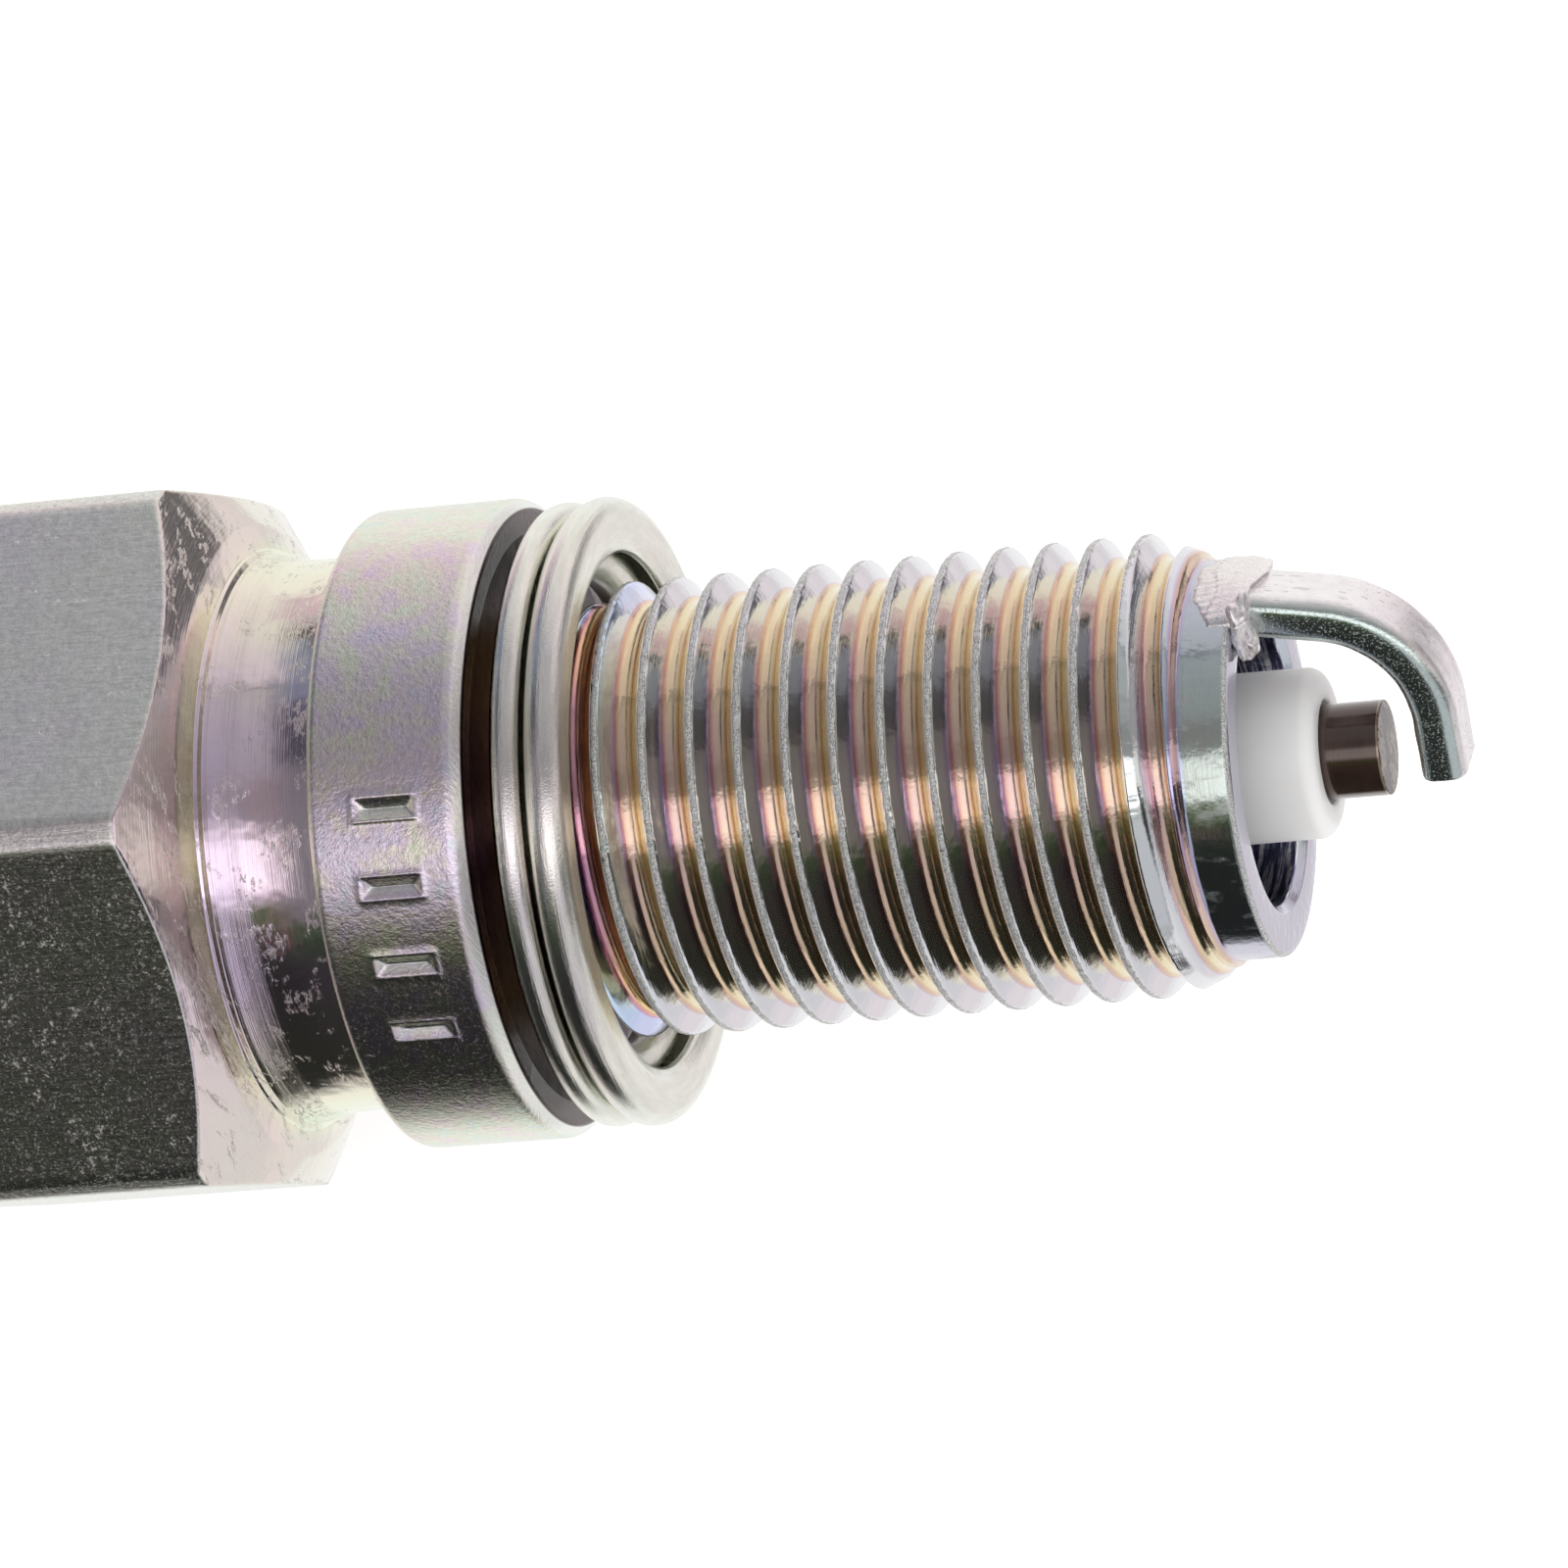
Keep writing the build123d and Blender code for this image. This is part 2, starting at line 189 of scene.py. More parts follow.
def smooth_min(a, b, k):
    """The lower of two values, blended where they differ by less than k."""
    h = np.clip(0.5 + 0.5 * (b - a) / k, 0, 1)
    return b + (a - b) * h - k * h * (1 - h)


NOISE_SIZE = 64


def value_noise(u, v, seed):
    """Smooth repeatable noise in -1..1 over two coordinates. Both repeat every NOISE_SIZE units."""
    table = np.random.default_rng(seed).uniform(-1, 1, (NOISE_SIZE, NOISE_SIZE))
    iu, iv = np.floor(u).astype(int), np.floor(v).astype(int)
    fu, fv = u - iu, v - iv
    fu, fv = fu * fu * (3 - 2 * fu), fv * fv * (3 - 2 * fv)
    here, right = iu % NOISE_SIZE, (iu + 1) % NOISE_SIZE
    row, above = iv % NOISE_SIZE, (iv + 1) % NOISE_SIZE
    low = table[here, row] * (1 - fu) + table[right, row] * fu
    high = table[here, above] * (1 - fu) + table[right, above] * fu
    return low * (1 - fv) + high * fv


# ------------------------------------------------------------------ thread helper
def thread_profile(offset, pitch, major, root, land):
    """Radius of a 60 degree thread with round roots, at an axial offset from a crest's centre."""
    away = np.abs((offset + pitch / 2) % pitch - pitch / 2)
    from_root = pitch / 2 - away
    apex = major - (pitch - land) / 2 / TAN30
    arc = root - apex
    bottom = apex + 2 * arc - np.sqrt(np.maximum(arc ** 2 - from_root ** 2, 0))
    flank = apex + from_root / TAN30
    groove = np.where(from_root < arc * math.cos(math.radians(30)), bottom, flank)
    return smooth_min(groove, np.full_like(groove, major), 0.09)


def helical_grid(x_from, x_to, psi, pitch, radius_at, samples):
    """Vertices and faces of a threaded barrel whose mesh lines follow the helix.

    Samples are axial positions over one pitch, at angle zero. The first and last rings lie flat at x_from
    and x_to, so that turned rings can be joined to them.
    """
    n = len(psi)
    first = math.floor((x_from - samples[0]) / pitch) - 1
    last = math.ceil((x_to - samples[0]) / pitch) + 1
    base = np.concatenate([samples + k * pitch for k in range(first, last)])
    per_turn = len(samples)
    shift = pitch * psi / TAU
    x = np.clip(base[:, None] + shift[None, :], x_from, x_to)
    verts = around_axis(x, radius_at(x, psi[None, :]), psi)
    total = len(base)
    faces = []
    for i in range(total - 1):
        for j in range(n):
            if j + 1 < n:
                quad = (i * n + j, (i + 1) * n + j, (i + 1) * n + j + 1, i * n + j + 1)
            else:
                far, near = min(i + 1 + per_turn, total - 1), min(i + per_turn, total - 1)
                quad = (i * n + j, (i + 1) * n + j, far * n, near * n)
            faces.append(quad)
    return verts, faces


def welded(verts, faces, places=5):
    """Merge equal vertices and drop faces that have collapsed."""
    keys = np.round(np.asarray(verts), places)
    unique, index = np.unique(keys, axis=0, return_inverse=True)
    index = index.reshape(-1)
    kept = []
    for face in faces:
        ids = []
        for v in face:
            k = int(index[v])
            if not ids or ids[-1] != k:
                ids.append(k)
        if len(ids) > 1 and ids[0] == ids[-1]:
            ids.pop()
        if len(set(ids)) == len(ids) and len(ids) >= 3:
            kept.append(tuple(ids))
    return unique, kept


# ------------------------------------------------------------------ node helpers
def arithmetic(operation, swapped=False):
    """Operator that joins two values, or a value and a number, with a math node."""
    def method(self, other):
        first, second = (other, self) if swapped else (self, other)
        return self.graph.math(operation, first, second)
    return method


class Value:
    """Output of a node, usable in plain arithmetic."""

    def __init__(self, graph, socket):
        self.graph = graph
        self.socket = socket

    __add__, __radd__ = arithmetic("ADD"), arithmetic("ADD", True)
    __sub__, __rsub__ = arithmetic("SUBTRACT"), arithmetic("SUBTRACT", True)
    __mul__, __rmul__ = arithmetic("MULTIPLY"), arithmetic("MULTIPLY", True)
    __truediv__ = arithmetic("DIVIDE")


def rgba(colour):
    """Opaque colour from three levels, or from one level for a grey."""
    levels = colour if isinstance(colour, tuple) else (colour,) * 3
    return (*levels, 1.0)


class Graph:
    """Small builder for shader node trees. A single number stands for a grey wherever a colour goes."""

    def __init__(self, tree):
        self.tree = tree
        self.tree.nodes.clear()

    def node(self, kind, inputs=None, **settings):
        made = self.tree.nodes.new(kind)
        for key, value in settings.items():
            setattr(made, key, value)
        for key, value in (inputs or {}).items():
            self.put(made.inputs[key], value)
        return made

    def put(self, socket, value):
        if isinstance(value, Value):
            value = value.socket
        if isinstance(value, bpy.types.NodeSocket):
            self.tree.links.new(value, socket)
        elif socket.type == "RGBA":
            socket.default_value = rgba(value)
        else:
            socket.default_value = value

    def filled(self, kind, values=None, output=0, **settings):
        """Node with its inputs set from {input: value}; gives one of its outputs."""
        return Value(self, self.node(kind, values, **settings).outputs[output])

    def math(self, operation, a, b=0.0):
        return self.filled("ShaderNodeMath", {0: a, 1: b}, operation=operation)

    def vector(self, operation, a, b=(0, 0, 0)):
        output = "Value" if operation == "DOT_PRODUCT" else "Vector"
        return self.filled("ShaderNodeVectorMath", {0: a, 1: b}, output, operation=operation)

    def noise(self, vector, scale, detail=4.0, roughness=0.5):
        values = {"Vector": vector, "Scale": scale, "Detail": detail, "Roughness": roughness}
        return self.filled("ShaderNodeTexNoise", values, "Fac")

    def remap(self, value, low, high, to_low=0.0, to_high=1.0, smooth=True):
        values = {"Value": value, "From Min": low, "From Max": high, "To Min": to_low, "To Max": to_high}
        kind = "SMOOTHSTEP" if smooth else "LINEAR"
        return self.filled("ShaderNodeMapRange", values, "Result", interpolation_type=kind)

    def mix(self, factor, a, b, blend="MIX"):
        return self.filled("ShaderNodeMix", {0: factor, 6: a, 7: b}, 2, data_type="RGBA", blend_type=blend)

    def lerp(self, factor, a, b):
        return self.filled("ShaderNodeMix", {0: factor, 2: a, 3: b}, data_type="FLOAT")

    def ramp(self, factor, stops):
        made = self.node("ShaderNodeValToRGB", {"Fac": factor})
        elements = made.color_ramp.elements
        while len(elements) < len(stops):
            elements.new(0.5)
        for element, (position, colour) in zip(elements, sorted(stops)):
            element.position = position
            element.color = rgba(colour)
        return Value(self, made.outputs["Color"])

    def combine(self, x, y, z):
        return self.filled("ShaderNodeCombineXYZ", {"X": x, "Y": y, "Z": z})

    def stretched(self, vector, scale, rotation=(0.0, 0.0, 0.0)):
        """The vector turned and scaled along each axis."""
        return self.filled("ShaderNodeMapping", {"Vector": vector, "Scale": scale, "Rotation": rotation})

    def facing(self, direction):
        """How far the surface's normal points along a direction, from -1 to 1."""
        return self.vector("DOT_PRODUCT", self.node("ShaderNodeNewGeometry").outputs["Normal"], direction)

    def streaks(self, along, around, depth=0.0, detail=3.0, roughness=0.5):
        """Noise over coordinates stretched along the axis, around it and outward."""
        return self.noise(self.combine(along, around, depth), 1.0, detail, roughness)

    def bump(self, height, distance):
        return self.filled("ShaderNodeBump", {"Height": height, "Distance": distance}, "Normal")


def surface(name):
    """New material: its graph, the piece's own coordinates in millimetres, radius and angle about X."""
    material = bpy.data.materials.new(name)
    material.use_nodes = True
    g = Graph(material.node_tree)
    coords = g.node("ShaderNodeTexCoord").outputs["Object"]
    point = g.filled("ShaderNodeVectorMath", {0: coords, "Scale": 1 / MM}, operation="SCALE")
    split = g.node("ShaderNodeSeparateXYZ", {"Vector": point})
    x, y, z = (Value(g, output) for output in split.outputs)
    radius = g.math("SQRT", y * y + z * z)
    angle = g.math("ARCTAN2", z, y)
    return material, g, point, x, radius, angle


def finished(material, g, colour, metal, rough, height, relief, **extra):
    """The material, with its principled surface made from these values; relief is in millimetres."""
    normal = g.bump(height, relief * MM)
    values = {"Base Color": colour, "Metallic": metal, "Roughness": rough, "Normal": normal}
    values.update({key.replace("_", " "): value for key, value in extra.items()})
    g.node("ShaderNodeOutputMaterial", {"Surface": g.filled("ShaderNodeBsdfPrincipled", values)})
    return material


# ------------------------------------------------------------------ plated finish of the shell's zones
FILM_INDEX = 1.9
FILM_CHANNELS = ((615.0, 0.80), (540.0, 0.79), (455.0, 0.78))
# Painted shade: near-black colour laid on the seat face in the narrow gap between collar and gasket.
SEAT_GAP_SHADE = (0.040, 0.018, 0.020)


def film_tint(g, thickness, strength):
    """Interference tint of a clear film of the given thickness (nm) over zinc.

    Each channel has its wavelength in nanometres and the zinc's own reflectance.
    """
    geometry = g.node("ShaderNodeNewGeometry")
    cosine = g.vector("DOT_PRODUCT", geometry.outputs["Normal"], geometry.outputs["Incoming"])
    sine2 = 1.0 - cosine * cosine
    inside = g.math("SQRT", 1.0 - sine2 / FILM_INDEX ** 2)
    path = thickness * inside * (2 * FILM_INDEX)
    channels = []
    for wavelength, base in FILM_CHANNELS:
        wave = g.math("COSINE", path * (TAU / wavelength))
        channels.append((wave * strength + 1.0) * base)
    return g.filled("ShaderNodeCombineColor", dict(zip(("Red", "Green", "Blue"), channels)))


def wrapped(g, x, radius, angle, along=1.0, around=1.0):
    """Coordinates that follow the turned surface, stretched along the axis and around it."""
    return g.combine(x * along, angle * radius * around, radius * along)


def band(g, value, low, high, soft):
    """One between low and high, fading to zero over soft at each end."""
    return g.remap(value, low - soft, low + soft) * g.remap(value, high - soft, high + soft, 1.0, 0.0)


def make_thread_plate():
    """Rolled thread, pilot and bore: bright plate with an iridescent film and worn crests."""
    material, g, point, x, radius, angle = surface("plated_thread")
    patches = g.noise(point, 0.35, 3.0)
    fine = g.noise(point, 9.0, 3.0)
    # Film thickness in nanometres: in the roots, on the flanks, on the pilot and on the first turn.
    in_root = g.remap(radius, ROOT_R + 0.13, ROOT_R + 0.20, 1.0, 0.0)
    thickness = g.lerp(g.remap(radius, ROOT_R + 0.005, ROOT_R + 0.11), 189.0, 211.0)
    rear = g.remap(g.facing(tuple(AXIS)), -0.25, -0.55)
    thickness = g.lerp(in_root, g.lerp(rear, 262.0, 186.0), thickness)
    first_turn = g.remap(x, 2.5, 3.3, 1.0, 0.0)
    at_pilot = g.remap(x, THREAD_TO - 0.30, THREAD_TO)
    thickness = g.lerp(at_pilot, thickness, 268.0)
    thickness += first_turn * 13.0
    thickness += (patches - 0.5) * 30.0 + (fine - 0.5) * 8.0
    strength = g.lerp(in_root, g.lerp(rear, 0.03, 0.20), 0.31) + first_turn * 0.20
    tint = film_tint(g, thickness, g.lerp(at_pilot, strength, 0.10))
    # Plate worn off the crests and the pilot's edge.
    in_thread = band(g, x, 1.8, THREAD_TO - 0.20, 0.05)
    chips = g.streaks(x * 3.0, angle * 22.0, 0.0, 4.0, 0.65)
    edge = radius + (chips - 0.5) * 0.075
    worn = g.remap(edge, MAJOR_R - 0.040, MAJOR_R - 0.024) * in_thread
    end_edge = g.remap(x, REACH - 0.16, REACH - 0.07) * g.remap(edge, PILOT_R - 0.14, PILOT_R - 0.07)
    worn = g.math("MAXIMUM", worn, end_edge)
    grit = g.noise(point, 26.0, 4.0, 0.6)
    bare = g.ramp(grit, [(0.38, (0.28, 0.28, 0.27)), (0.50, (0.62, 0.62, 0.60)), (0.62, (0.96, 0.96, 0.94))])
    pilot = g.remap(x, THREAD_TO - 0.20, THREAD_TO - 0.10) * g.remap(radius, PILOT_R - 0.20, PILOT_R - 0.05)
    smudge = pilot * g.remap(g.streaks(x * 0.9, angle * 9.0, 0.0, 5.0, 0.6), 0.52, 0.66)
    # Painted shade: the thread roots are darkened.
    tint = g.mix(in_root, tint, (0.80, 0.78, 0.78), "MULTIPLY")
    colour = g.mix(worn, tint, bare)
    colour = g.mix(smudge * 0.45, colour, (0.50, 0.50, 0.48))
    lines = g.streaks(x * 42.0, angle * 1.2)
    rough = g.lerp(worn, lines * 0.07 + 0.075, grit * 0.16 + 0.16)
    rough += smudge * 0.20
    bore = g.remap(radius, BORE_R + 0.01, BORE_R + 0.03, 1.0, 0.0)
    scratch = g.streaks(x * 9.0, angle * 2.2, 0.0, 5.0, 0.6)
    streaked = g.ramp(scratch, [(0.42, (0.08, 0.08, 0.16)), (0.50, (0.30, 0.30, 0.46)), (0.56, 1.0)])
    colour = g.mix(bore, colour, streaked)
    rough = g.lerp(bore, rough, 0.24)
    height = lines * 0.3 + worn * grit * 2.2 + g.noise(point, 3.2, 3.0) * 0.9
    metal = 1.0 - worn * 0.34 - smudge * 0.16
    return finished(material, g, colour, metal, rough, height, 0.012)


def make_polished_plate():
    """Turned neck, shoulder and rim: polished plate with fine turning lines and scuffs."""
    material, g, point, x, radius, angle = surface("plated_polished")
    patches = g.noise(point, 0.22, 4.0, 0.6)
    thickness = (patches - 0.5) * 60.0 + 348.0
    shoulder = g.remap(x, SHOULDER_X, SHOULDER_X - 0.15)
    tint = film_tint(g, thickness, g.lerp(shoulder, 0.13, 0.07))
    tint = g.mix(shoulder, tint, (1.0, 0.94, 0.96), "MULTIPLY")
    lines = g.streaks(x * 30.0, angle * 1.1, 0.0, 4.0)
    scuff_at = g.noise(wrapped(g, x, radius, angle), 0.8, 5.0, 0.65)
    scuff_grain = g.noise(wrapped(g, x, radius, angle, 9.0, 3.0), 1.0, 5.0, 0.7)
    scuffs = g.remap(scuff_at, 0.52, 0.62) * g.remap(scuff_grain, 0.50, 0.60)
    colour = g.mix(scuffs * 0.55, tint, (0.74, 0.74, 0.72))
    # Painted shade: the seat face in the gap behind the gasket is coloured near-black and made rougher.
    seat = g.remap(x, -0.06, -0.02)
    colour = g.mix(seat, colour, SEAT_GAP_SHADE)
    brushed = band(g, x, -7.05, -6.25, 0.12)
    rough = lines * 0.08 + 0.07 + scuffs * 0.22
    rough += seat * 0.25 + brushed * 0.10
    height = lines * (brushed * 0.9 + 0.45) + scuffs * 0.8
    height += g.noise(point, 1.1, 2.0) * 2.4
    return finished(material, g, colour, 1.0, rough, height, 0.012)


def make_collar_plate():
    """Collar: plate over a rolled, slightly pebbled surface, brighter on its worn rims."""
    material, g, point, x, radius, angle = surface("plated_collar")
    flat = wrapped(g, x, radius, angle)
    pebble = g.noise(flat, 7.5, 5.0, 0.66)
    fine = g.noise(flat, 17.0, 4.0, 0.6)
    patches = g.noise(point, 1.1, 4.0, 0.6)
    thickness = 345.0 + (patches - 0.5) * 190.0
    tint = film_tint(g, thickness, 0.15)
    colour = g.mix(0.4, tint, g.ramp(pebble, [(0.3, (0.60, 0.61, 0.58)), (0.7, (0.86, 0.87, 0.85))]))
    rims = g.remap(radius + (fine - 0.5) * 0.2, 8.24, 8.30, 1.0, 0.0)
    colour = g.mix(rims * 0.6, colour, (0.92, 0.92, 0.90))
    # Painted shade: the collar's outer part of the seat face is coloured near-black as well.
    colour = g.mix(g.remap(x, -0.06, -0.02), colour, SEAT_GAP_SHADE)
    rough = fine * 0.11 + 0.06 - rims * 0.03
    height = pebble + fine * 0.16
    flecks = g.remap(g.noise(flat, 11.0, 5.0, 0.75), 0.57, 0.66)
    metal = 1.0 - flecks * 0.22
    return finished(material, g, colour, metal, rough, height, 0.018)


def make_hex_plate():
    """Hexagon flats: dull drawn-bar surface with fine scratches and pits under the plate."""
    material, g, point, *_ = surface("plated_hexagon")
    drawn = g.noise(g.stretched(point, (0.35, 3.2, 3.2)), 2.6, 6.0, 0.66)
    grain = g.noise(point, 5.5, 6.0, 0.72)
    pits = g.remap(g.noise(point, 13.0, 4.0, 0.6), 0.60, 0.70)
    patches = g.noise(point, 0.4, 3.0)
    thickness = 335.0 + (patches - 0.5) * 80.0
    tint = film_tint(g, thickness, 0.08)
    tones = [(0.34, (0.54, 0.53, 0.50)), (0.52, (0.76, 0.76, 0.73)), (0.68, (0.92, 0.92, 0.90))]
    mottled = g.ramp(grain, tones)
    colour = g.mix(0.5, tint, mottled)
    where = g.remap(g.noise(point, 0.75, 5.0, 0.65), 0.49, 0.60)
    flecks = where * g.remap(g.noise(point, 5.0, 6.0, 0.75), 0.56, 0.62)
    colour = g.mix(pits * 0.5, colour, (0.22, 0.21, 0.20))
    rough = grain * 0.14 + 0.13
    height = drawn * 0.8 + grain * 0.6 - pits * 0.4
    metal = 1.0 - flecks * 0.42
    return finished(material, g, colour, metal, rough, height, 0.015)


# ------------------------------------------------------------------ shell
# Height of the camera above the floor's plane, seen along the axis, and its angle round the axis.
CAMERA_PHI = math.radians(56.5)
CAMERA_PSI = math.pi - CAMERA_PHI
# Stamped bars, as angles from the camera's side, and the raised lip round each.
BAR_OFFSETS = [math.radians(a) for a in (4.2, -9.6, -24.0, -37.6)]
BAR_X, BAR_LENGTH, BAR_WIDTH, BAR_DEPTH = -2.02, 1.52, 0.48, 0.16
LIP_AT, LIP_SPREAD, LIP_HEIGHT = 0.07, 0.06, 0.035
# Outside of the shell, then its bore. The ledge carries the ceramic.
COLLAR_R = 8.33
COLLAR_LEN = 4.10
PILOT_R = 5.10
PILOT_FILLET = 0.19
HEX_FRONT = -7.89
HEX_BACK = -17.00
SHOULDER_X = -7.30
TURNED_R = 10.20
HEX_CONE = TAN30 * (TURNED_R - FLAT_R)
NECK_R, NECK_X, NECK_BOW = 7.22, -5.50, 0.08
RIM_R, RIM_BORE_R, RIM_CURL = 7.50, 5.50, 1.28
BORE_R, SLEEVE_R, CHAMBER_R = 3.78, 4.30, 6.50
BORE_CHAMFER = 0.22
LEDGE_X = 8.90


def shell_angles():
    """Angles round the shell: even, with extra lines at the hexagon's corners and the stamped bars."""
    psi = list(np.linspace(0, TAU, 384, endpoint=False))
    for corner in range(6):
        for beside in (0.35, 1.3, 1.7, 2.1, 2.6):
            psi += [corner * TAU / 6 + side * math.radians(beside) for side in (-1, 1)]
    for offset in BAR_OFFSETS:
        middle = CAMERA_PSI - offset
        psi += list(middle + np.radians(np.linspace(-2.3, 2.3, 24)))
    psi = np.sort(np.mod(psi, TAU))
    return psi[np.concatenate([[True], np.diff(psi) > math.radians(0.07)])]


def bar_depth(x, psi):
    """Depth of the four plain bars stamped in the collar, with a slight raised lip round each."""
    depth = np.zeros(np.broadcast(x, psi).shape)
    half_length, half_width = BAR_LENGTH / 2, BAR_WIDTH / 2
    for offset in BAR_OFFSETS:
        across = np.abs(np.mod(psi - (CAMERA_PSI - offset) + math.pi, TAU) - math.pi) * COLLAR_R
        along = np.abs(x - BAR_X)
        outside = np.maximum(along - half_length, across - half_width)
        pit = np.clip(np.minimum(1 - across / half_width, (half_length - along) / 0.22), 0, 1)
        lip = np.exp(-((outside - LIP_AT) / LIP_SPREAD) ** 2)
        depth += BAR_DEPTH * pit - LIP_HEIGHT * lip
    return depth


def shell_profile():
    """Turned outline of the shell: pilot, bore, rim, hexagon, neck, collar and thread relief."""
    return filleted([
        (THREAD_TO, PILOT_R), (REACH, PILOT_R, PILOT_FILLET), (REACH, BORE_R + BORE_CHAMFER, 0.05),
        (REACH - BORE_CHAMFER, BORE_R, 0.05), (LEDGE_X + 0.30, BORE_R), (LEDGE_X, SLEEVE_R),
        (-8.40, SLEEVE_R), (-9.50, CHAMBER_R), (HEX_BACK - 1.00, CHAMBER_R, 0.4),
        (RIM_X + 0.90, RIM_BORE_R + 0.40, 0.3), (RIM_X + 0.90, RIM_BORE_R, 0.05), (RIM_X, RIM_BORE_R, 0.18),
        (RIM_X, RIM_R, RIM_CURL), (HEX_BACK - 0.25, RIM_R, 0.2), (HEX_BACK, RIM_R + 0.25, 0.1),
        (HEX_BACK, FLAT_R, 0.12), (HEX_BACK + HEX_CONE, TURNED_R, 0.2),
        (HEX_FRONT - HEX_CONE, TURNED_R, 0.2), (HEX_FRONT, FLAT_R, 0.5),
        (SHOULDER_X - 0.20, COLLAR_R - 0.03, 0.9), (SHOULDER_X - 0.01, NECK_R + 0.40, 0.05),
        (SHOULDER_X + 0.08, NECK_R + 0.38, 0.04), (SHOULDER_X + 0.16, NECK_R + 0.23, 0.05),
        (SHOULDER_X + 0.30, NECK_R + 0.22, 0.05),
        *[(x, NECK_R + NECK_BOW * (x - NECK_X) ** 2) for x in np.linspace(-6.80, -4.36, 13)],
        (-COLLAR_LEN - 0.10, NECK_R + 0.14, 0.1), (-COLLAR_LEN - 0.02, NECK_R + 0.30, 0.1),
        (-COLLAR_LEN, COLLAR_R, 0.26), (-0.30, COLLAR_R, 0.35), (0, COLLAR_R - 0.32, 0.20),
        (0, PILOT_R + 0.15, 0.15), (0.25, PILOT_R, 0.1), (THREAD_FROM, PILOT_R),
    ])


def hexagon_radius(psi):
    """Distance from the axis to the hexagon's flats at the angles psi."""
    return FLAT_R / np.cos(np.mod(psi, TAU / 6) - TAU / 12)


def barrel_radius(x, psi):
    """Rolled thread: 60 degree grooves, faded out by the blank's chamfers at both ends."""
    stations = [THREAD_FROM + 0.35, 2.00, 16.35, THREAD_TO - 0.28, THREAD_TO - 0.15]
    blank = np.interp(x, stations, [PILOT_R, MAJOR_R, MAJOR_R, 5.36, PILOT_R])
    crest = CREST_X + PITCH * (np.mod(psi - CREST_PSI, TAU)) / TAU
    thread = thread_profile(x - crest, PITCH, MAJOR_R, ROOT_R, THREAD_LAND)
    turn = psi / TAU * NOISE_SIZE
    dents = value_noise(turn * 3, x * 0.8 + 8, 3) + 0.6 * value_noise(turn * 7, x * 0.8 + 8, 4)
    crests = np.clip((thread - MAJOR_R + 0.12) / 0.1, 0, 1)
    return smooth_min(thread, blank, 0.06) + 0.008 * dents * crests * (blank > 5.7)


def refined(outline):
    """The shell's outline in short steps: finest on the hexagon's chamfers, fine on the stamped collar."""
    out = [outline[0]]
    for a, b in zip(outline[:-1], outline[1:]):
        at_chamfer = HEX_FRONT - 0.95 < a[0] < HEX_FRONT + 0.2 or HEX_BACK - 0.1 < a[0] < HEX_BACK + 0.95
        high = min(a[1], b[1])
        step = 0.6
        if at_chamfer and high > 8.4 and abs(b[1] - a[1]) > 1e-4:
            step = 0.022
        elif high > 8.2 and a[0] > -COLLAR_LEN - 0.1:
            step = 0.075
        out += list(densified(np.array([a, b]), step)[1:])
    return np.array(out)


def shell_zones(centres):
    """Material of each face: 0 thread and bore, 1 polished, 2 collar, 3 hexagon flats."""
    x = centres[:, 0]
    radius = np.hypot(centres[:, 1], centres[:, 2])
    angle = np.mod(np.arctan2(centres[:, 2], centres[:, 1]), TAU)
    zones = np.ones(len(centres), int)
    zones[(x > 0.1) | (radius < 4.5)] = 0
    zones[(x > -COLLAR_LEN - 0.05) & (x < 0.02) & (radius > 7.6)] = 2
    flats = (x < HEX_FRONT) & (x > HEX_BACK) & (radius > hexagon_radius(angle) - 0.03)
    flats |= (x < HEX_FRONT - HEX_CONE) & (x > HEX_BACK + HEX_CONE) & (radius > FLAT_R - 0.05)
    zones[flats] = 3
    return zones


def build_shell():
    """Turned and stamped body, joined to the threaded barrel."""
    psi = shell_angles()
    n = len(psi)
    rows = refined(shell_profile())
    x = np.repeat(rows[:, :1], n, 1)
    r = np.repeat(rows[:, 1:2], n, 1)
    outer = (rows[:, 0] < HEX_FRONT + 0.3) & (rows[:, 0] > HEX_BACK - 0.01) & (rows[:, 1] > 8.2)
    r[outer] = smooth_min(np.broadcast_to(hexagon_radius(psi), r[outer].shape), r[outer], 0.09)
    collar = (rows[:, 0] < -0.2) & (rows[:, 0] > -COLLAR_LEN + 0.1) & (rows[:, 1] > 8.1)
    r[collar] -= bar_depth(x[collar], psi[None, :])
    verts = around_axis(x, r, psi)
    half = np.array([0.0, 0.05, 0.075, 0.10, 0.14, 0.20, 0.28, 0.36, 0.42, 0.46, 0.50, 0.54, 0.58, PITCH / 2])
    samples = np.concatenate([-half[:0:-1], half])[:-1] + CREST_X - PITCH * CREST_PSI / TAU
    barrel, barrel_faces = helical_grid(THREAD_FROM, THREAD_TO, psi, PITCH, barrel_radius, samples)
    faces = strips(len(rows), n) + [tuple(v + len(verts) for v in face) for face in barrel_faces]
    verts, faces = welded(np.vstack([verts, barrel]), faces)
    obj = new_object("shell_visual", verts, faces, "plug", node="shell")
    for make in (make_thread_plate, make_polished_plate, make_collar_plate, make_hex_plate):
        obj.data.materials.append(make())
    centres = np.empty(len(obj.data.polygons) * 3)
    obj.data.polygons.foreach_get("center", centres)
    obj.data.polygons.foreach_set("material_index", shell_zones(centres.reshape(-1, 3) / MM))


build_shell()


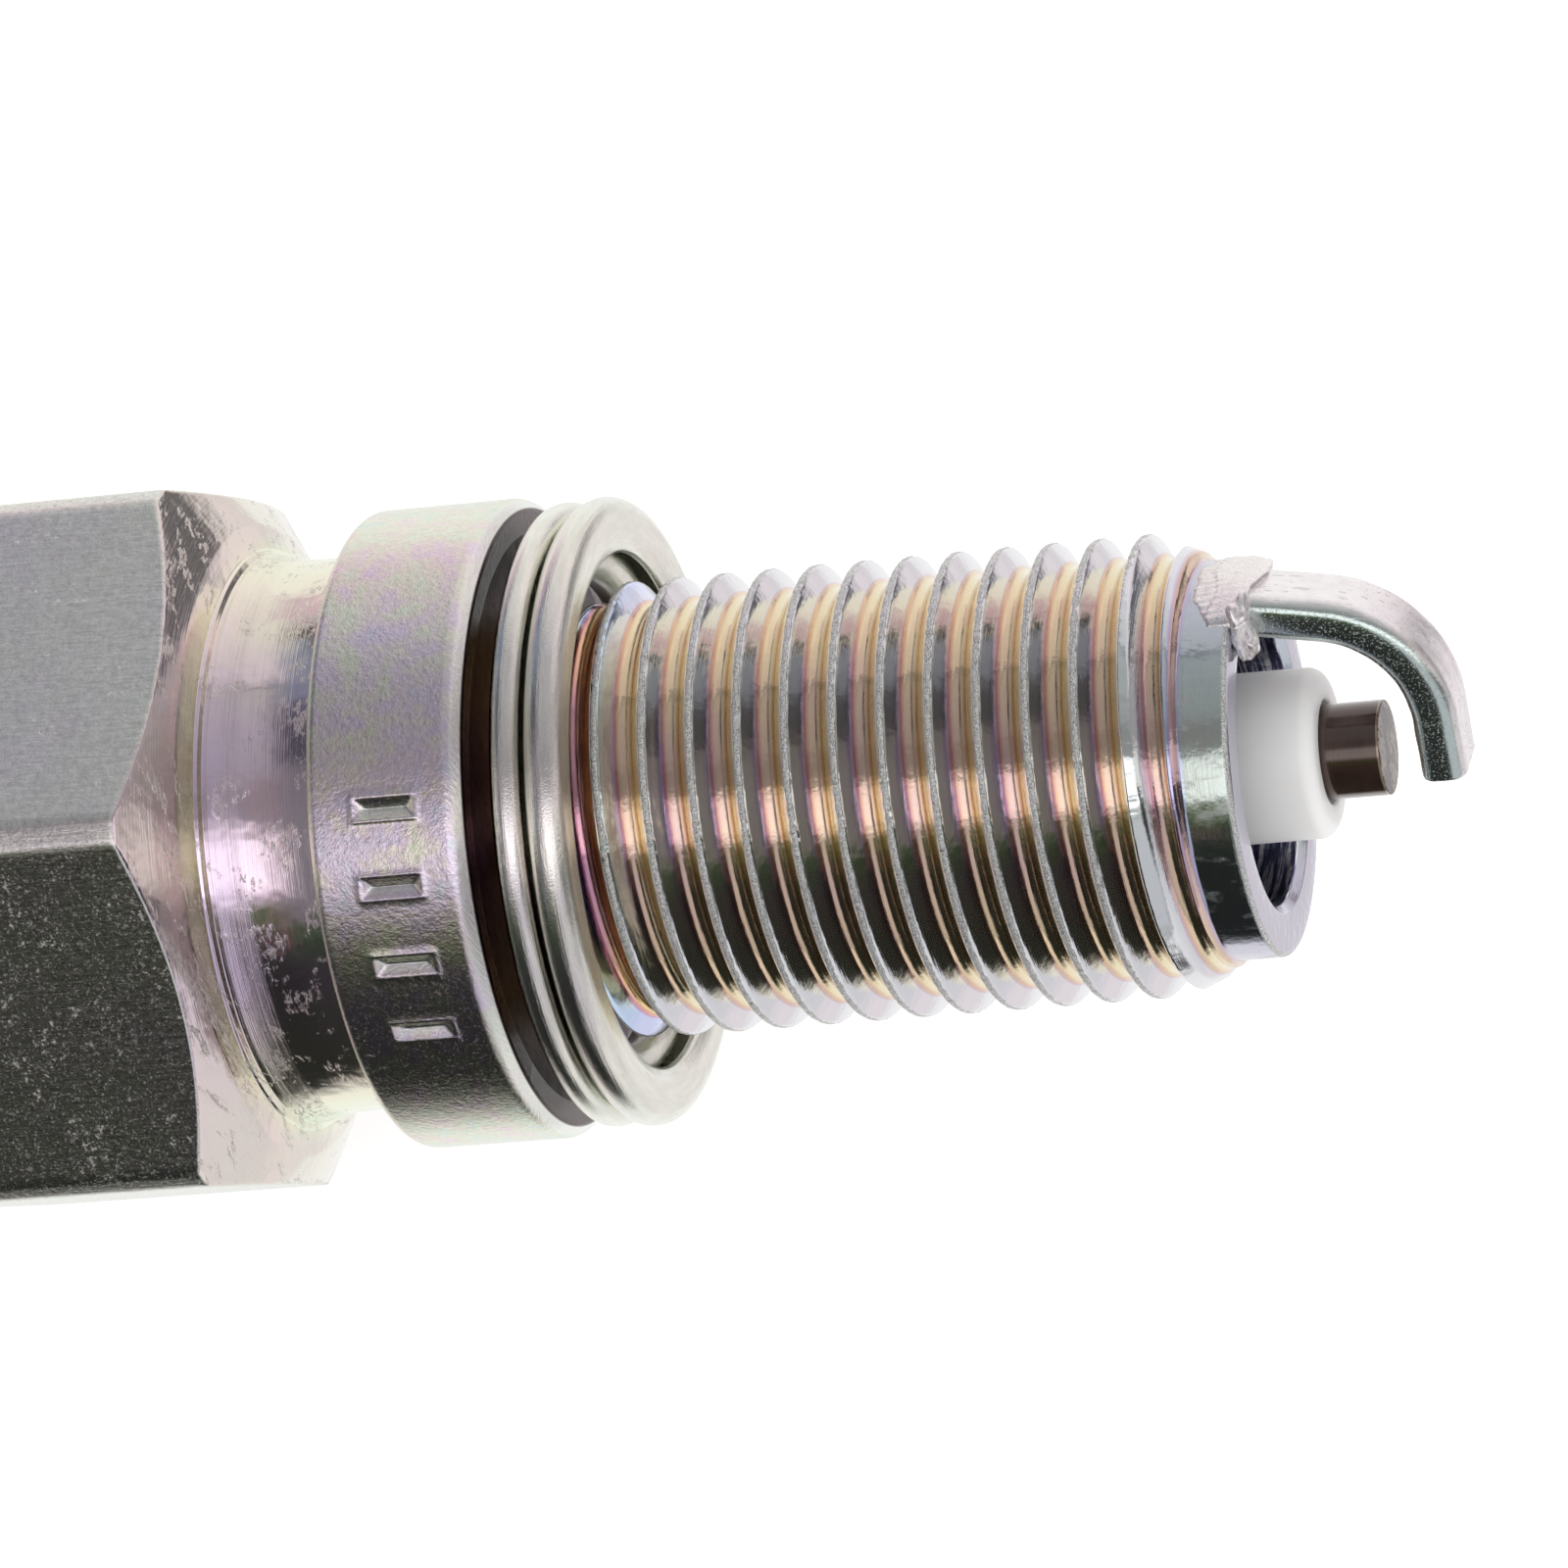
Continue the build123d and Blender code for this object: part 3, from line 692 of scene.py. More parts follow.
# ------------------------------------------------------------------ gasket
def make_gasket_steel():
    """Folded sheet steel: satin plate with stretch marks round the folds."""
    material, g, point, x, radius, angle = surface("gasket_steel")
    patches = g.noise(point, 0.3, 3.0)
    thickness = 332.0 + (patches - 0.5) * 70.0
    tint = film_tint(g, thickness, 0.07)
    strain = g.streaks(x * 5.0, angle * 7.0, radius * 5.0, 5.0, 0.6)
    lines = g.streaks(x * 26.0, angle * 1.5, radius * 26.0)
    grain = g.noise(point, 21.0, 4.0, 0.6)
    colour = g.mix(0.4, tint, g.ramp(strain, [(0.3, (0.70, 0.67, 0.62)), (0.7, (1.0, 0.97, 0.91))]))
    rough = grain * 0.07 + strain * 0.06 + 0.03
    height = lines * 0.35 + grain * 0.35 + strain * 0.8
    return finished(material, g, colour, 1.0, rough, height, 0.02)


def unit_tangents(line):
    """Direction of a polyline at each of its points."""
    tangents = np.gradient(line, axis=0)
    return tangents / np.linalg.norm(tangents, axis=1)[:, None]


def strip_outline(line, half):
    """Closed outline of a strip of the given half thickness along a centre line, with round ends."""
    tangents = unit_tangents(line)
    normals = np.stack([-tangents[:, 1], tangents[:, 0]], -1)
    left, right = line + normals * half, line - normals * half
    turns = np.linspace(0.35, math.pi - 0.35, 5)[:, None]
    last = line[-1] + half * (normals[-1] * np.cos(turns) + tangents[-1] * np.sin(turns))
    first = line[0] - half * (normals[0] * np.cos(turns) + tangents[0] * np.sin(turns))
    return np.vstack([left, last, right[::-1], first])


def build_gasket():
    """Folded ring: two round lobes and a hem, from one strip of sheet."""
    half = 0.178
    front, back = GASKET_FRONT - 0.18, GASKET_BACK + 0.18
    second = front - 0.70
    hem = back + 0.44
    fold_r, inner_r, hem_r = 7.97, 6.22, 7.92
    line = densified(filleted([
        (front - 0.13, 6.86), (front - 0.02, 7.10, 0.4), (front, fold_r, 0.345), (second, fold_r, 0.345),
        (second, inner_r, 0.43), (back, inner_r, 0.43), (back, hem_r, 0.215), (hem, hem_r, 0.215),
        (hem, 7.34),
    ]), 0.07)

    def wobble(x, r, psi):
        wave = 0.012 * np.sin(2 * psi + 0.6) + 0.008 * np.sin(5 * psi + 2.0)
        return x + 0.012 * np.sin(psi - 0.4), r + wave * np.clip((r - 6.5) / 1.5, 0, 1)

    lathe("gasket_visual", strip_outline(line, half), "gasket", "gasket", make_gasket_steel(), 320, wobble)


build_gasket()


# ------------------------------------------------------------------ ground electrode and its weld
THICK, WIDTH = 1.15, 2.10
EDGE_R, SIDE_BOW = 0.34, 0.05
# Bend of the wire and its tip, as distances from the axis. The straight part leans outward.
BEND_R, BEND_N = 3.60, 1.08
TIP_N = -0.58
LEAN = math.radians(10.4)
OUT_DIR = np.array([0.0, math.cos(SIDE_ANGLE), math.sin(SIDE_ANGLE)])
SIDE_DIR = np.array([0.0, -math.sin(SIDE_ANGLE), math.cos(SIDE_ANGLE)])


def beside_axis(x, outward, sideways):
    """Points given along the axis, outward to the side electrode and sideways, as columns."""
    return x * AXIS + outward * OUT_DIR + sideways * SIDE_DIR


def make_hook_metal():
    """Flat nickel alloy wire: satin, mottled by the plating bath and scuffed where it was bent."""
    material, g, point, *_ = surface("electrode_wire")
    mottle = g.noise(point, 2.2, 6.0, 0.68)
    grain = g.noise(point, 15.0, 5.0, 0.65)
    patches = g.noise(point, 0.6, 2.0)
    thickness = 312.0 + (patches - 0.5) * 60.0
    tint = film_tint(g, thickness, 0.10)
    colour = g.mix(0.88, tint, g.ramp(mottle, [(0.34, (0.90, 0.85, 0.86)), (0.56, (1.0, 0.95, 0.96))]))
    scrape = g.remap(g.noise(g.stretched(point, (0.9, 9.0, 9.0), (0.3, 0.5, 0.9)), 1.0, 3.0), 0.64, 0.68)
    colour = g.mix(scrape * 0.35, colour, (0.36, 0.35, 0.34))
    rough = grain * 0.10 + mottle * 0.08 + 0.035
    height = mottle * 0.6 + grain * 0.5 - scrape * 0.25
    # Painted reflection on the side facing the camera: a darker green tint, with its crystals painted white
    # as glints.
    near_side = g.remap(g.facing(tuple(SIDE_DIR)), 0.55, 0.85)
    crystals_and_glints = g.remap(g.noise(point, 17.0, 4.0, 0.7), 0.585, 0.66)
    height = height * (1.0 - near_side * 0.55)
    height += crystals_and_glints * near_side * 1.3
    colour = g.mix(near_side, colour, (0.66, 0.74, 0.71))
    colour = g.mix(crystals_and_glints * near_side, colour, (1.0, 1.0, 1.0))
    rough = rough * (1.0 - near_side * 0.4)
    return finished(material, g, colour, 1.0, rough, height, 0.022)


def hook_path():
    """Centre line of the wire in (x, outward) coordinates, from weld to tip."""
    centre_x = HOOK_X - BEND_R
    mid_r = BEND_R - THICK / 2
    turns = np.linspace(LEAN, math.pi / 2, 60)
    bend = np.stack([centre_x + mid_r * np.sin(turns), BEND_N + mid_r * np.cos(turns)], -1)
    foot = np.array([REACH, bend[0, 1] + (bend[0, 0] - REACH) * math.tan(LEAN)])
    straight = foot + (bend[0] - foot) * np.linspace(0, 1, 14, endpoint=False)[:, None]
    tip = np.array([(HOOK_X - THICK / 2, n) for n in np.linspace(BEND_N, TIP_N, 16)[1:]])
    return np.vstack([straight, bend, tip])


def wire_section():
    """Section of the wire: flat top and bottom, round corners and slightly bowed sides."""
    half_w, half_t = WIDTH / 2 - 0.03, THICK / 2
    corners = []
    for side_w, side_t, start in ((1, 1, 0), (-1, 1, 90), (-1, -1, 180), (1, -1, 270)):
        turns = np.radians(start + np.linspace(0, 90, 7))
        w = side_w * (half_w - EDGE_R) + EDGE_R * np.cos(turns)
        t = side_t * (half_t - EDGE_R) + EDGE_R * np.sin(turns)
        corners += list(np.stack([w, t], -1))
    loop = densified(np.vstack([corners, corners[:1]]), 0.12)[:-1]
    bow = SIDE_BOW * np.clip(1 - (loop[:, 1] / half_t) ** 2, 0, 1)
    loop[:, 0] += np.sign(loop[:, 0]) * bow * (np.abs(loop[:, 0]) > half_w - EDGE_R * 1.01)
    return loop


def build_hook():
    """Wire swept along its path, a little dented, with the tip's edges eased."""
    path = hook_path()
    tangents = unit_tangents(path)
    section = wire_section()
    m = len(section)
    lengths = np.concatenate([[0], np.cumsum(np.linalg.norm(np.diff(path, axis=0), axis=1))])
    stations = [(path[i], tangents[i], 1.0) for i in range(len(path) - 1)]
    for ease, scale in ((0.0, 1.0), (0.035, 0.985), (0.06, 0.955)):
        stations.append((path[-1] - tangents[-1] * (0.06 - ease), tangents[-1], scale))
    rows = []
    for index, (centre, tangent, scale) in enumerate(stations):
        normal = np.array([-tangent[1], tangent[0]])
        length = lengths[min(index, len(lengths) - 1)]
        dent = 0.010 * value_noise(np.full(m, length * 2.1), np.arange(m) * NOISE_SIZE / m * 0.6, 11)
        t = section[:, 1:] * scale + dent[:, None]
        plane = centre + normal * t
        rows.append(beside_axis(plane[:, :1], plane[:, 1:], section[:, :1] * scale))
    faces = strips(len(rows), m)
    faces.append(tuple(range(m - 1, -1, -1)))
    faces.append(tuple(range((len(rows) - 1) * m, len(rows) * m)))
    verts = np.vstack(rows)
    new_object("ground_electrode_visual", verts, faces, "plug", make_hook_metal(), "ground_electrode")


build_hook()


def make_weld_metal():
    """Upset weld metal: bright, lumpy and streaked where it was trimmed."""
    material, g, point, x, radius, angle = surface("weld_metal")
    lumps = g.noise(point, 3.4, 5.0, 0.6)
    grain = g.noise(point, 14.0, 5.0, 0.65)
    streaks = g.streaks(x * 2.2, angle * 34.0, 0.0, 4.0, 0.55)
    on_lip = g.remap(radius, PILOT_R - 0.04, PILOT_R + 0.02) * g.remap(x, REACH + 0.5, REACH + 0.7, 1.0, 0.0)
    thickness = 340.0 + lumps * 26.0
    tint = film_tint(g, thickness, 0.08)
    colour = g.mix(0.75, tint, g.ramp(grain, [(0.30, (0.78, 0.73, 0.73)), (0.58, (1.0, 0.95, 0.95))]))
    rough = grain * 0.08 + on_lip * 0.16 + 0.03
    ploughed = streaks * g.remap(x, 18.3, 18.7, 0.8, 0.12)
    height = g.lerp(on_lip, lumps, ploughed + lumps * 0.3)
    height += grain * 0.25
    return finished(material, g, colour, 1.0, rough, height, 0.05)


def blob(centre, size, seed, lumps, rows=34, columns=48):
    """Lumpy closed blob in (x, outward, side) coordinates."""
    rng = np.random.default_rng(seed)
    waves = rng.normal(size=(9, 3)) * 3.0
    phases = rng.uniform(0, TAU, 9)
    verts = []
    for polar in np.linspace(0, math.pi, rows + 1):
        for turn in np.linspace(0, TAU, columns, endpoint=False):
            across = math.sin(polar)
            d = np.array([math.cos(polar), across * math.cos(turn), across * math.sin(turn)])
            d = np.sign(d) * np.abs(d) ** 0.88
            bump = np.mean(np.sin(waves @ d + phases))
            verts.append(np.array(centre) + np.array(size) * d * (1 + lumps * bump))
    return np.array(verts), strips(rows + 1, columns)


LIP_FROM, LIP_TO, LIP_HALF_ANGLE = 17.92, 19.72, math.radians(22.5)
LIP_UNDER_R = 4.93


def lip_point(u, v):
    """Radius and axial position of the scraped flap, for u along it and v from -1 to 1 across it."""
    ragged = 0.040 * math.sin(9 * v + 1) + 0.018 * math.sin(23 * v) + 0.008 * math.sin(41 * v + 2)
    start = LIP_FROM + 0.55 * abs(v) ** 2.4 + ragged
    end = LIP_TO - 0.34 * min(1.0, max(0.0, 2 * v + 0.5)) - 0.20 * max(0.0, -v) ** 2 + 0.3 * ragged
    x = start + (end - start) * u
    edge = min(1.0, u / 0.07) ** 0.5 * min(1.0, (1 - abs(v)) / 0.12) ** 0.5
    steps = 0.035 * (x > 18.45 + 0.10 * math.sin(5 * v)) + 0.02 * math.sin(3.3 * x + 2 * v)
    furrows = 0.012 * math.sin(46 * v + 3 * x) * max(0.15, min(1.0, (18.8 - x) / 0.4))
    lift = edge * (0.055 + steps + furrows)
    droop = 0.34 * max(0.0, x - REACH - 0.1)
    return x, PILOT_R - 0.015 + lift - droop


def trimmed_lip():
    """Flap of upset metal scraped flat over the pilot, standing a little proud of the wire's root."""
    rows, columns = 46, 60
    width = columns + 1
    top, bottom = [], []
    for i in range(rows + 1):
        for j in range(width):
            v = 2 * j / columns - 1
            x, radius = lip_point(i / rows, v)
            turn = LIP_HALF_ANGLE * v
            direction = math.cos(turn) * OUT_DIR + math.sin(turn) * SIDE_DIR
            under = LIP_UNDER_R if x < REACH else LIP_UNDER_R - 0.07
            top.append(x * AXIS + radius * direction)
            bottom.append(x * AXIS + under * direction)
    count = len(top)
    faces = []
    for i in range(rows):
        for j in range(columns):
            a = i * width + j
            faces.append((a, a + 1, a + width + 1, a + width))
            faces.append((count + a, count + a + width, count + a + width + 1, count + a + 1))
    border = list(range(width))
    border += [i * width + columns for i in range(1, rows + 1)]
    border += [rows * width + j for j in range(columns - 1, -1, -1)]
    border += [i * width for i in range(rows - 1, 0, -1)]
    faces += [(a, count + a, count + b, b) for a, b in zip(border, border[1:] + border[:1])]
    return np.array(top + bottom), faces


def build_weld():
    """Trimmed flap with three beads of metal squeezed out beside the wire."""
    verts, faces = trimmed_lip()
    beads = [
        ((REACH + 0.16, 4.44, 1.50), (0.33, 0.70, 0.50), 5, 0.62),
        ((REACH + 0.24, 3.96, 1.42), (0.29, 0.42, 0.36), 8, 0.62),
        ((REACH + 0.16, 4.25, -1.15), (0.26, 0.42, 0.20), 13, 0.40),
    ]
    for centre, size, seed, lumps in beads:
        local, local_faces = blob(centre, size, seed, lumps)
        faces += [tuple(v + len(verts) for v in face) for face in local_faces]
        verts = np.vstack([verts, beside_axis(local[:, :1], local[:, 1:2], local[:, 2:])])
    verts, faces = welded(verts, faces)
    new_object("weld_visual", verts, faces, "plug", make_weld_metal(), "ground_electrode_weld")


build_weld()


# ------------------------------------------------------------------ insulator
NOSE_R, NOSE_BORE_R = 2.18, 1.32
STEP_R, SEAL_R, TOP_R, RIB_R, GROOVE_R = 3.40, 4.20, 4.70, 5.20, 4.37
RIB_PITCH = 2.40
STUD_HOLE_R = 1.95
SHEATH_BACK = -0.60


def make_ceramic():
    """White alumina: bare and satin on the nose, under a clear glaze above the rim."""
    material, g, point, x, _, angle = surface("alumina")
    lines = g.streaks(x * 0.8, angle * 30.0)
    cloud = g.noise(point, 0.5, 4.0)
    speck = g.remap(g.noise(point, 30.0, 2.0), 0.74, 0.78)
    colour = g.ramp(cloud, [(0.3, (0.93, 0.915, 0.905)), (0.7, (0.96, 0.95, 0.94))])
    colour = g.mix(lines * 0.12, colour, (0.74, 0.74, 0.73))
    colour = g.mix(speck * 0.25, colour, (0.45, 0.43, 0.40))
    glazed = g.remap(x, -19.0, -19.6)
    colour = g.mix(glazed, colour, 0.90, "MULTIPLY")
    rough = g.lerp(glazed, lines * 0.10 + 0.34, cloud * 0.05 + 0.05)
    height = lines * 0.25 + g.noise(point, 1.5, 2.0) * 0.7
    return finished(
        material, g, colour, 0.0, rough, height, 0.01,
        IOR=1.62, Subsurface_Weight=0.55, Subsurface_Radius=(1.0, 0.95, 0.9), Subsurface_Scale=0.80 * MM,
        Coat_Weight=glazed * 0.6, Coat_Roughness=0.04,
    )


def build_insulator():
    """Ceramic: long nose, seat cone, sealing flange, glazed barrel with five grooves, and bore."""
    seat = LEDGE_X - 0.05
    outline = [
        (NOSE_TIP, NOSE_BORE_R, 0.10), (NOSE_TIP, NOSE_R, 0.80), (15.0, NOSE_R, 3.0), (9.60, STEP_R, 0.3),
        (seat + TAN30 * 0.36, STEP_R), (seat - TAN30 * 0.42, SEAL_R), (-8.90, SEAL_R, 0.3),
        (-10.00, CHAMBER_R - 0.10, 0.2), (-13.40, CHAMBER_R - 0.10, 0.3), (-14.10, RIB_R - 0.10),
        (-19.35, RIB_R - 0.10), (-19.45, RIB_R, 0.05),
    ]
    for rib in range(5):
        groove = -25.40 - rib * RIB_PITCH
        outline += [
            (groove + 0.92, RIB_R, 0.30), (groove + 0.62, GROOVE_R, 0.5), (groove - 0.62, GROOVE_R, 0.5),
            (groove - 0.92, RIB_R, 0.30),
        ]
    outline += [
        (-35.95, RIB_R, 0.6), (-36.65, TOP_R, 0.6), (TOP_X, TOP_R, 0.70), (TOP_X, STUD_HOLE_R, 0.1),
        (SHEATH_BACK, STUD_HOLE_R), (SHEATH_BACK, NOSE_BORE_R), (NOSE_TIP, NOSE_BORE_R),
    ]
    line = filleted([(NOSE_TIP - 1, NOSE_BORE_R)] + outline)[1:]
    lathe("insulator_visual", densified(line, 0.9)[:-1], "plug", "insulator", make_ceramic(), 224)


build_insulator()


# ------------------------------------------------------------------ centre electrode
def make_fired_alloy():
    """Dark glossy oxide skin, bare and scraped on the end face."""
    material, g, point, x, _, angle = surface("fired_alloy")
    lines = g.streaks(x * 26.0, angle * 0.8)
    cloud = g.noise(point, 1.6, 4.0)
    skin = g.ramp(cloud, [(0.30, (0.050, 0.028, 0.021)), (0.70, (0.082, 0.046, 0.034))])
    skin = g.mix(g.remap(lines, 0.5, 0.7) * 0.22, skin, (0.16, 0.10, 0.075))
    tip = ELECTRODE_TIP
    end = g.remap(x, tip - 0.03, tip - 0.012)
    streaks = g.noise(g.stretched(point, (1.0, 2.2, 1.0), (0.5, 0, 0)), 1.3, 5.0, 0.62)
    face = g.ramp(streaks, [
        (0.42, (0.035, 0.022, 0.016)), (0.52, (0.11, 0.075, 0.055)),
        (0.58, (0.34, 0.33, 0.28)), (0.66, (0.15, 0.12, 0.09)),
    ])
    colour = g.mix(end, skin, face)
    rim = band(g, x, tip - 0.07, tip - 0.02, 0.01)
    colour = g.mix(rim * 0.7, colour, (0.46, 0.34, 0.24))
    rough = g.lerp(end, lines * 0.08 + 0.10, streaks * 0.3 + 0.12)
    height = lines * 0.3 + streaks * end * 2.5
    return finished(
        material, g, colour, 0.6, rough, height, 0.012,
        Coat_Weight=1.0 - end * 0.85, Coat_IOR=1.5, Coat_Roughness=0.06,
    )


def build_center_electrode():
    """Sheath with its collar, hollow from behind for the core."""
    tip = ELECTRODE_TIP
    sheath_r, collar_r, core_r, core_end = 1.22, 1.75, 0.62, 19.60
    line = densified(filleted([
        (tip, 0.0), (tip, sheath_r, 0.055), (SHEATH_BACK, sheath_r, 0.05), (SHEATH_BACK, collar_r),
        (SHEATH_BACK - 0.80, collar_r), (SHEATH_BACK - 0.80, core_r), (core_end, core_r), (core_end, 0.0),
    ]), 1.2)
    lathe("center_electrode_visual", line, "plug", "center_electrode", make_fired_alloy(), 160)


build_center_electrode()


# ------------------------------------------------------------------ terminal stud and nut
def make_terminal_steel(name, tone):
    """Nickel plate with turning lines and handling scuffs."""
    material, g, point, x, radius, angle = surface(name)
    lines = g.streaks(x * 24.0, angle * 0.9, radius * 20.0, 4.0)
    scuff = g.remap(g.noise(point, 1.7, 5.0, 0.68), 0.54, 0.66)
    grain = g.noise(point, 16.0, 3.0)
    colour = g.mix(scuff * 0.35, tone, tuple(c * 0.72 for c in tone))
    rough = lines * 0.12 + 0.14 + scuff * 0.15
    height = lines * 0.6 + grain * 0.3
    return finished(material, g, colour, 1.0, rough, height, 0.015)


def build_terminal_nut():
    """Cap with a waist for the plug connector's spring, open towards the ceramic."""
    top, base = NUT_TOP, NUT_BASE
    cap_r, waist_r, hole_r = 3.175, 2.62, 2.00
    outline = filleted([
        (base, hole_r), (base, cap_r, 0.18), (base - 2.85, cap_r, 0.15), (base - 3.40, waist_r, 0.3),
        (base - 5.40, waist_r, 0.3), (base - 5.95, cap_r, 0.2), (top + 0.75, cap_r, 0.35), (top, 2.30, 0.3),
        (top, 0.0),
    ])
    inside = filleted([(top + 0.80, 0.0), (top + 0.80, hole_r, 0.2), (base, hole_r)])
    line = np.vstack([densified(inside, 0.8), densified(outline, 0.4)[1:]])
    plate = make_terminal_steel("terminal_plate", (0.74, 0.73, 0.70))
    lathe("terminal_nut_visual", line, "terminal_nut", "terminal_nut", plate, 192)


STUD_PITCH, STUD_R, STUD_CORE_R = 0.70, 1.94, 1.52
FLANGE_BACK = STUD_END + 7.80
STUD_FROM, STUD_TO = STUD_END + 0.02, FLANGE_BACK - 0.28


def stud_radius(x, angle):
    """Fine thread, faded out at the tip and under the flange."""
    stations = [STUD_FROM, STUD_FROM + 0.38, FLANGE_BACK - 0.6, FLANGE_BACK - 0.3]
    blank = np.interp(x, stations, [STUD_CORE_R - 0.02, STUD_R, STUD_R, STUD_CORE_R])
    crest = STUD_END + STUD_PITCH * angle / TAU
    thread = thread_profile(x - crest, STUD_PITCH, STUD_R, 1.58, 0.09)
    return smooth_min(thread, blank, 0.03)


def build_terminal_stud():
    """Threaded end, flange and smooth shank, closed at both ends."""
    psi = np.linspace(0, TAU, 128, endpoint=False)
    n = len(psi)
    samples = np.linspace(0, STUD_PITCH, 14, endpoint=False)
    verts, faces = helical_grid(STUD_FROM, STUD_TO, psi, STUD_PITCH, stud_radius, samples)
    flange_r, head_r, shank_r, shank_end = 2.60, 1.85, 1.50, -15.20
    shank = densified(filleted([
        (STUD_TO, STUD_CORE_R), (FLANGE_BACK, STUD_CORE_R, 0.1), (FLANGE_BACK, flange_r, 0.1),
        (TOP_X, flange_r, 0.08), (TOP_X, head_r, 0.05), (shank_end - 2.40, head_r, 0.05),
        (shank_end - 2.40, shank_r), (shank_end, shank_r, 0.2), (shank_end, 0.0),
    ]), 1.0)[:-1]
    tip = np.array([(STUD_END, STUD_CORE_R - 0.10), (STUD_FROM, STUD_CORE_R - 0.02)])
    for rings in (shank, tip):
        faces += [tuple(v + len(verts) for v in face) for face in strips(len(rings), n)]
        verts = np.vstack([verts, around_axis(rings[:, :1], rings[:, 1:], psi)])
    hub = len(verts)
    verts = np.vstack([verts, [STUD_END, 0, 0], [shank_end, 0, 0]])
    tip_ring, shank_ring = hub - 2 * n, hub - 3 * n
    for j in range(n):
        k = (j + 1) % n
        faces.append((hub, tip_ring + j, tip_ring + k))
        faces.append((hub + 1, shank_ring + k, shank_ring + j))
    verts, faces = welded(verts, faces)
    plate = make_terminal_steel("stud_plate", (0.66, 0.65, 0.63))
    new_object("terminal_stud_visual", verts, faces, "plug", plate, "terminal_stud")


build_terminal_nut()
build_terminal_stud()


# ------------------------------------------------------------------ hidden pieces keep their CAD meshes
def make_inner(name, dark, light, metallic, rough, scale):
    """Plain inner material: two tones broken up by grain, with a little relief."""
    material, g, point, x, radius, angle = surface(name)
    grain = g.noise(point, scale, 5.0, 0.65)
    lines = g.streaks(x * 14.0, angle, radius * 14.0)
    colour = g.ramp(grain, [(0.32, dark), (0.68, light)])
    shade = grain * 0.2 + rough
    height = grain + lines * 0.5
    return finished(material, g, colour, metallic, shade, height, 0.02)


INNER = [
    ("inner_copper", (0.62, 0.30, 0.18), (0.86, 0.50, 0.34), 1.0, 0.18, 7.0, ["center_electrode_core"]),
    ("inner_steel", (0.34, 0.34, 0.34), (0.58, 0.58, 0.57), 1.0, 0.26, 9.0,
     ["seat_packing", "lower_wire_ring", "upper_wire_ring"]),
    ("pressed_talc", (0.64, 0.63, 0.58), (0.84, 0.83, 0.79), 0.0, 0.75, 5.0, ["talc_packing"]),
    ("fused_glass", (0.09, 0.07, 0.05), (0.22, 0.17, 0.12), 0.25, 0.12, 6.0,
     ["lower_glass_seal", "upper_glass_seal"]),
    ("resistor_body", (0.04, 0.04, 0.045), (0.13, 0.13, 0.13), 0.0, 0.50, 8.0, ["resistor"]),
]
for *settings, nodes in INNER:
    material = make_inner(*settings)
    for node in nodes:
        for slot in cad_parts[node].material_slots:
            slot.material = material


# ------------------------------------------------------------------ studio
TOWARD = np.array([0.0, -math.cos(CAMERA_PHI), math.sin(CAMERA_PHI)])
UPWARD = np.array([0.0, math.sin(CAMERA_PHI), math.cos(CAMERA_PHI)])


def build_floor():
    """Pale floor. Mirror rays pass through it, so that polished steel sees only the studio's panels."""
    reach, level = 3.0, (FLOOR_Z - 0.01) * MM
    mesh = bpy.data.meshes.new("floor")
    corners = [(-reach, -reach, level), (reach, -reach, level), (reach, reach, level), (-reach, reach, level)]
    mesh.from_pydata(corners, [], [(0, 1, 2, 3)])
    floor = bpy.data.objects.new("floor", mesh)
    bpy.context.scene.collection.objects.link(floor)
    material = bpy.data.materials.new("pale_floor")
    material.use_nodes = True
    g = Graph(material.node_tree)
    cloud = g.noise(g.node("ShaderNodeTexCoord").outputs["Object"], 30.0, 2.0)
    paper = g.filled("ShaderNodeBsdfDiffuse", {"Color": g.mix(cloud, 0.94, 0.97)})
    glow = g.filled("ShaderNodeEmission", {"Color": 1.0, "Strength": 0.62})
    seen = g.filled("ShaderNodeAddShader", {0: paper, 1: glow})
    clear = g.filled("ShaderNodeBsdfTransparent")
    direct = g.node("ShaderNodeLightPath").outputs["Is Camera Ray"]
    chosen = g.filled("ShaderNodeMixShader", {0: direct, 1: clear, 2: seen})
    g.node("ShaderNodeOutputMaterial", {"Surface": chosen})
    mesh.materials.append(material)


# What the metal mirrors, by degrees round the axis from the camera's side, positive upward.
DARK = (0.022, 0.024, 0.022)
ROUND_FRONT = [
    (-180, 1.0), (-134, 0.98), (-124, DARK), (-60, DARK), (-40, (0.045, 0.050, 0.042)),
    (-33, (0.07, 0.12, 0.05)), (-27, (0.12, 0.18, 0.09)), (-22, (0.80, 0.80, 0.81)),
    (-17, (1.45, 1.45, 1.46)), (2, (1.30, 1.30, 1.31)), (6, (0.55, 0.56, 0.56)), (9, (0.30, 0.31, 0.31)),
    (20, (0.27, 0.28, 0.28)), (28, (0.36, 0.37, 0.38)), (63, (0.46, 0.48, 0.48)),
    (66, (0.20, 0.21, 0.22)), (69, (0.62, 0.62, 0.64)), (100, (0.78, 0.77, 0.78)),
    (122, (0.95, 0.94, 0.94)), (180, 1.0),
]
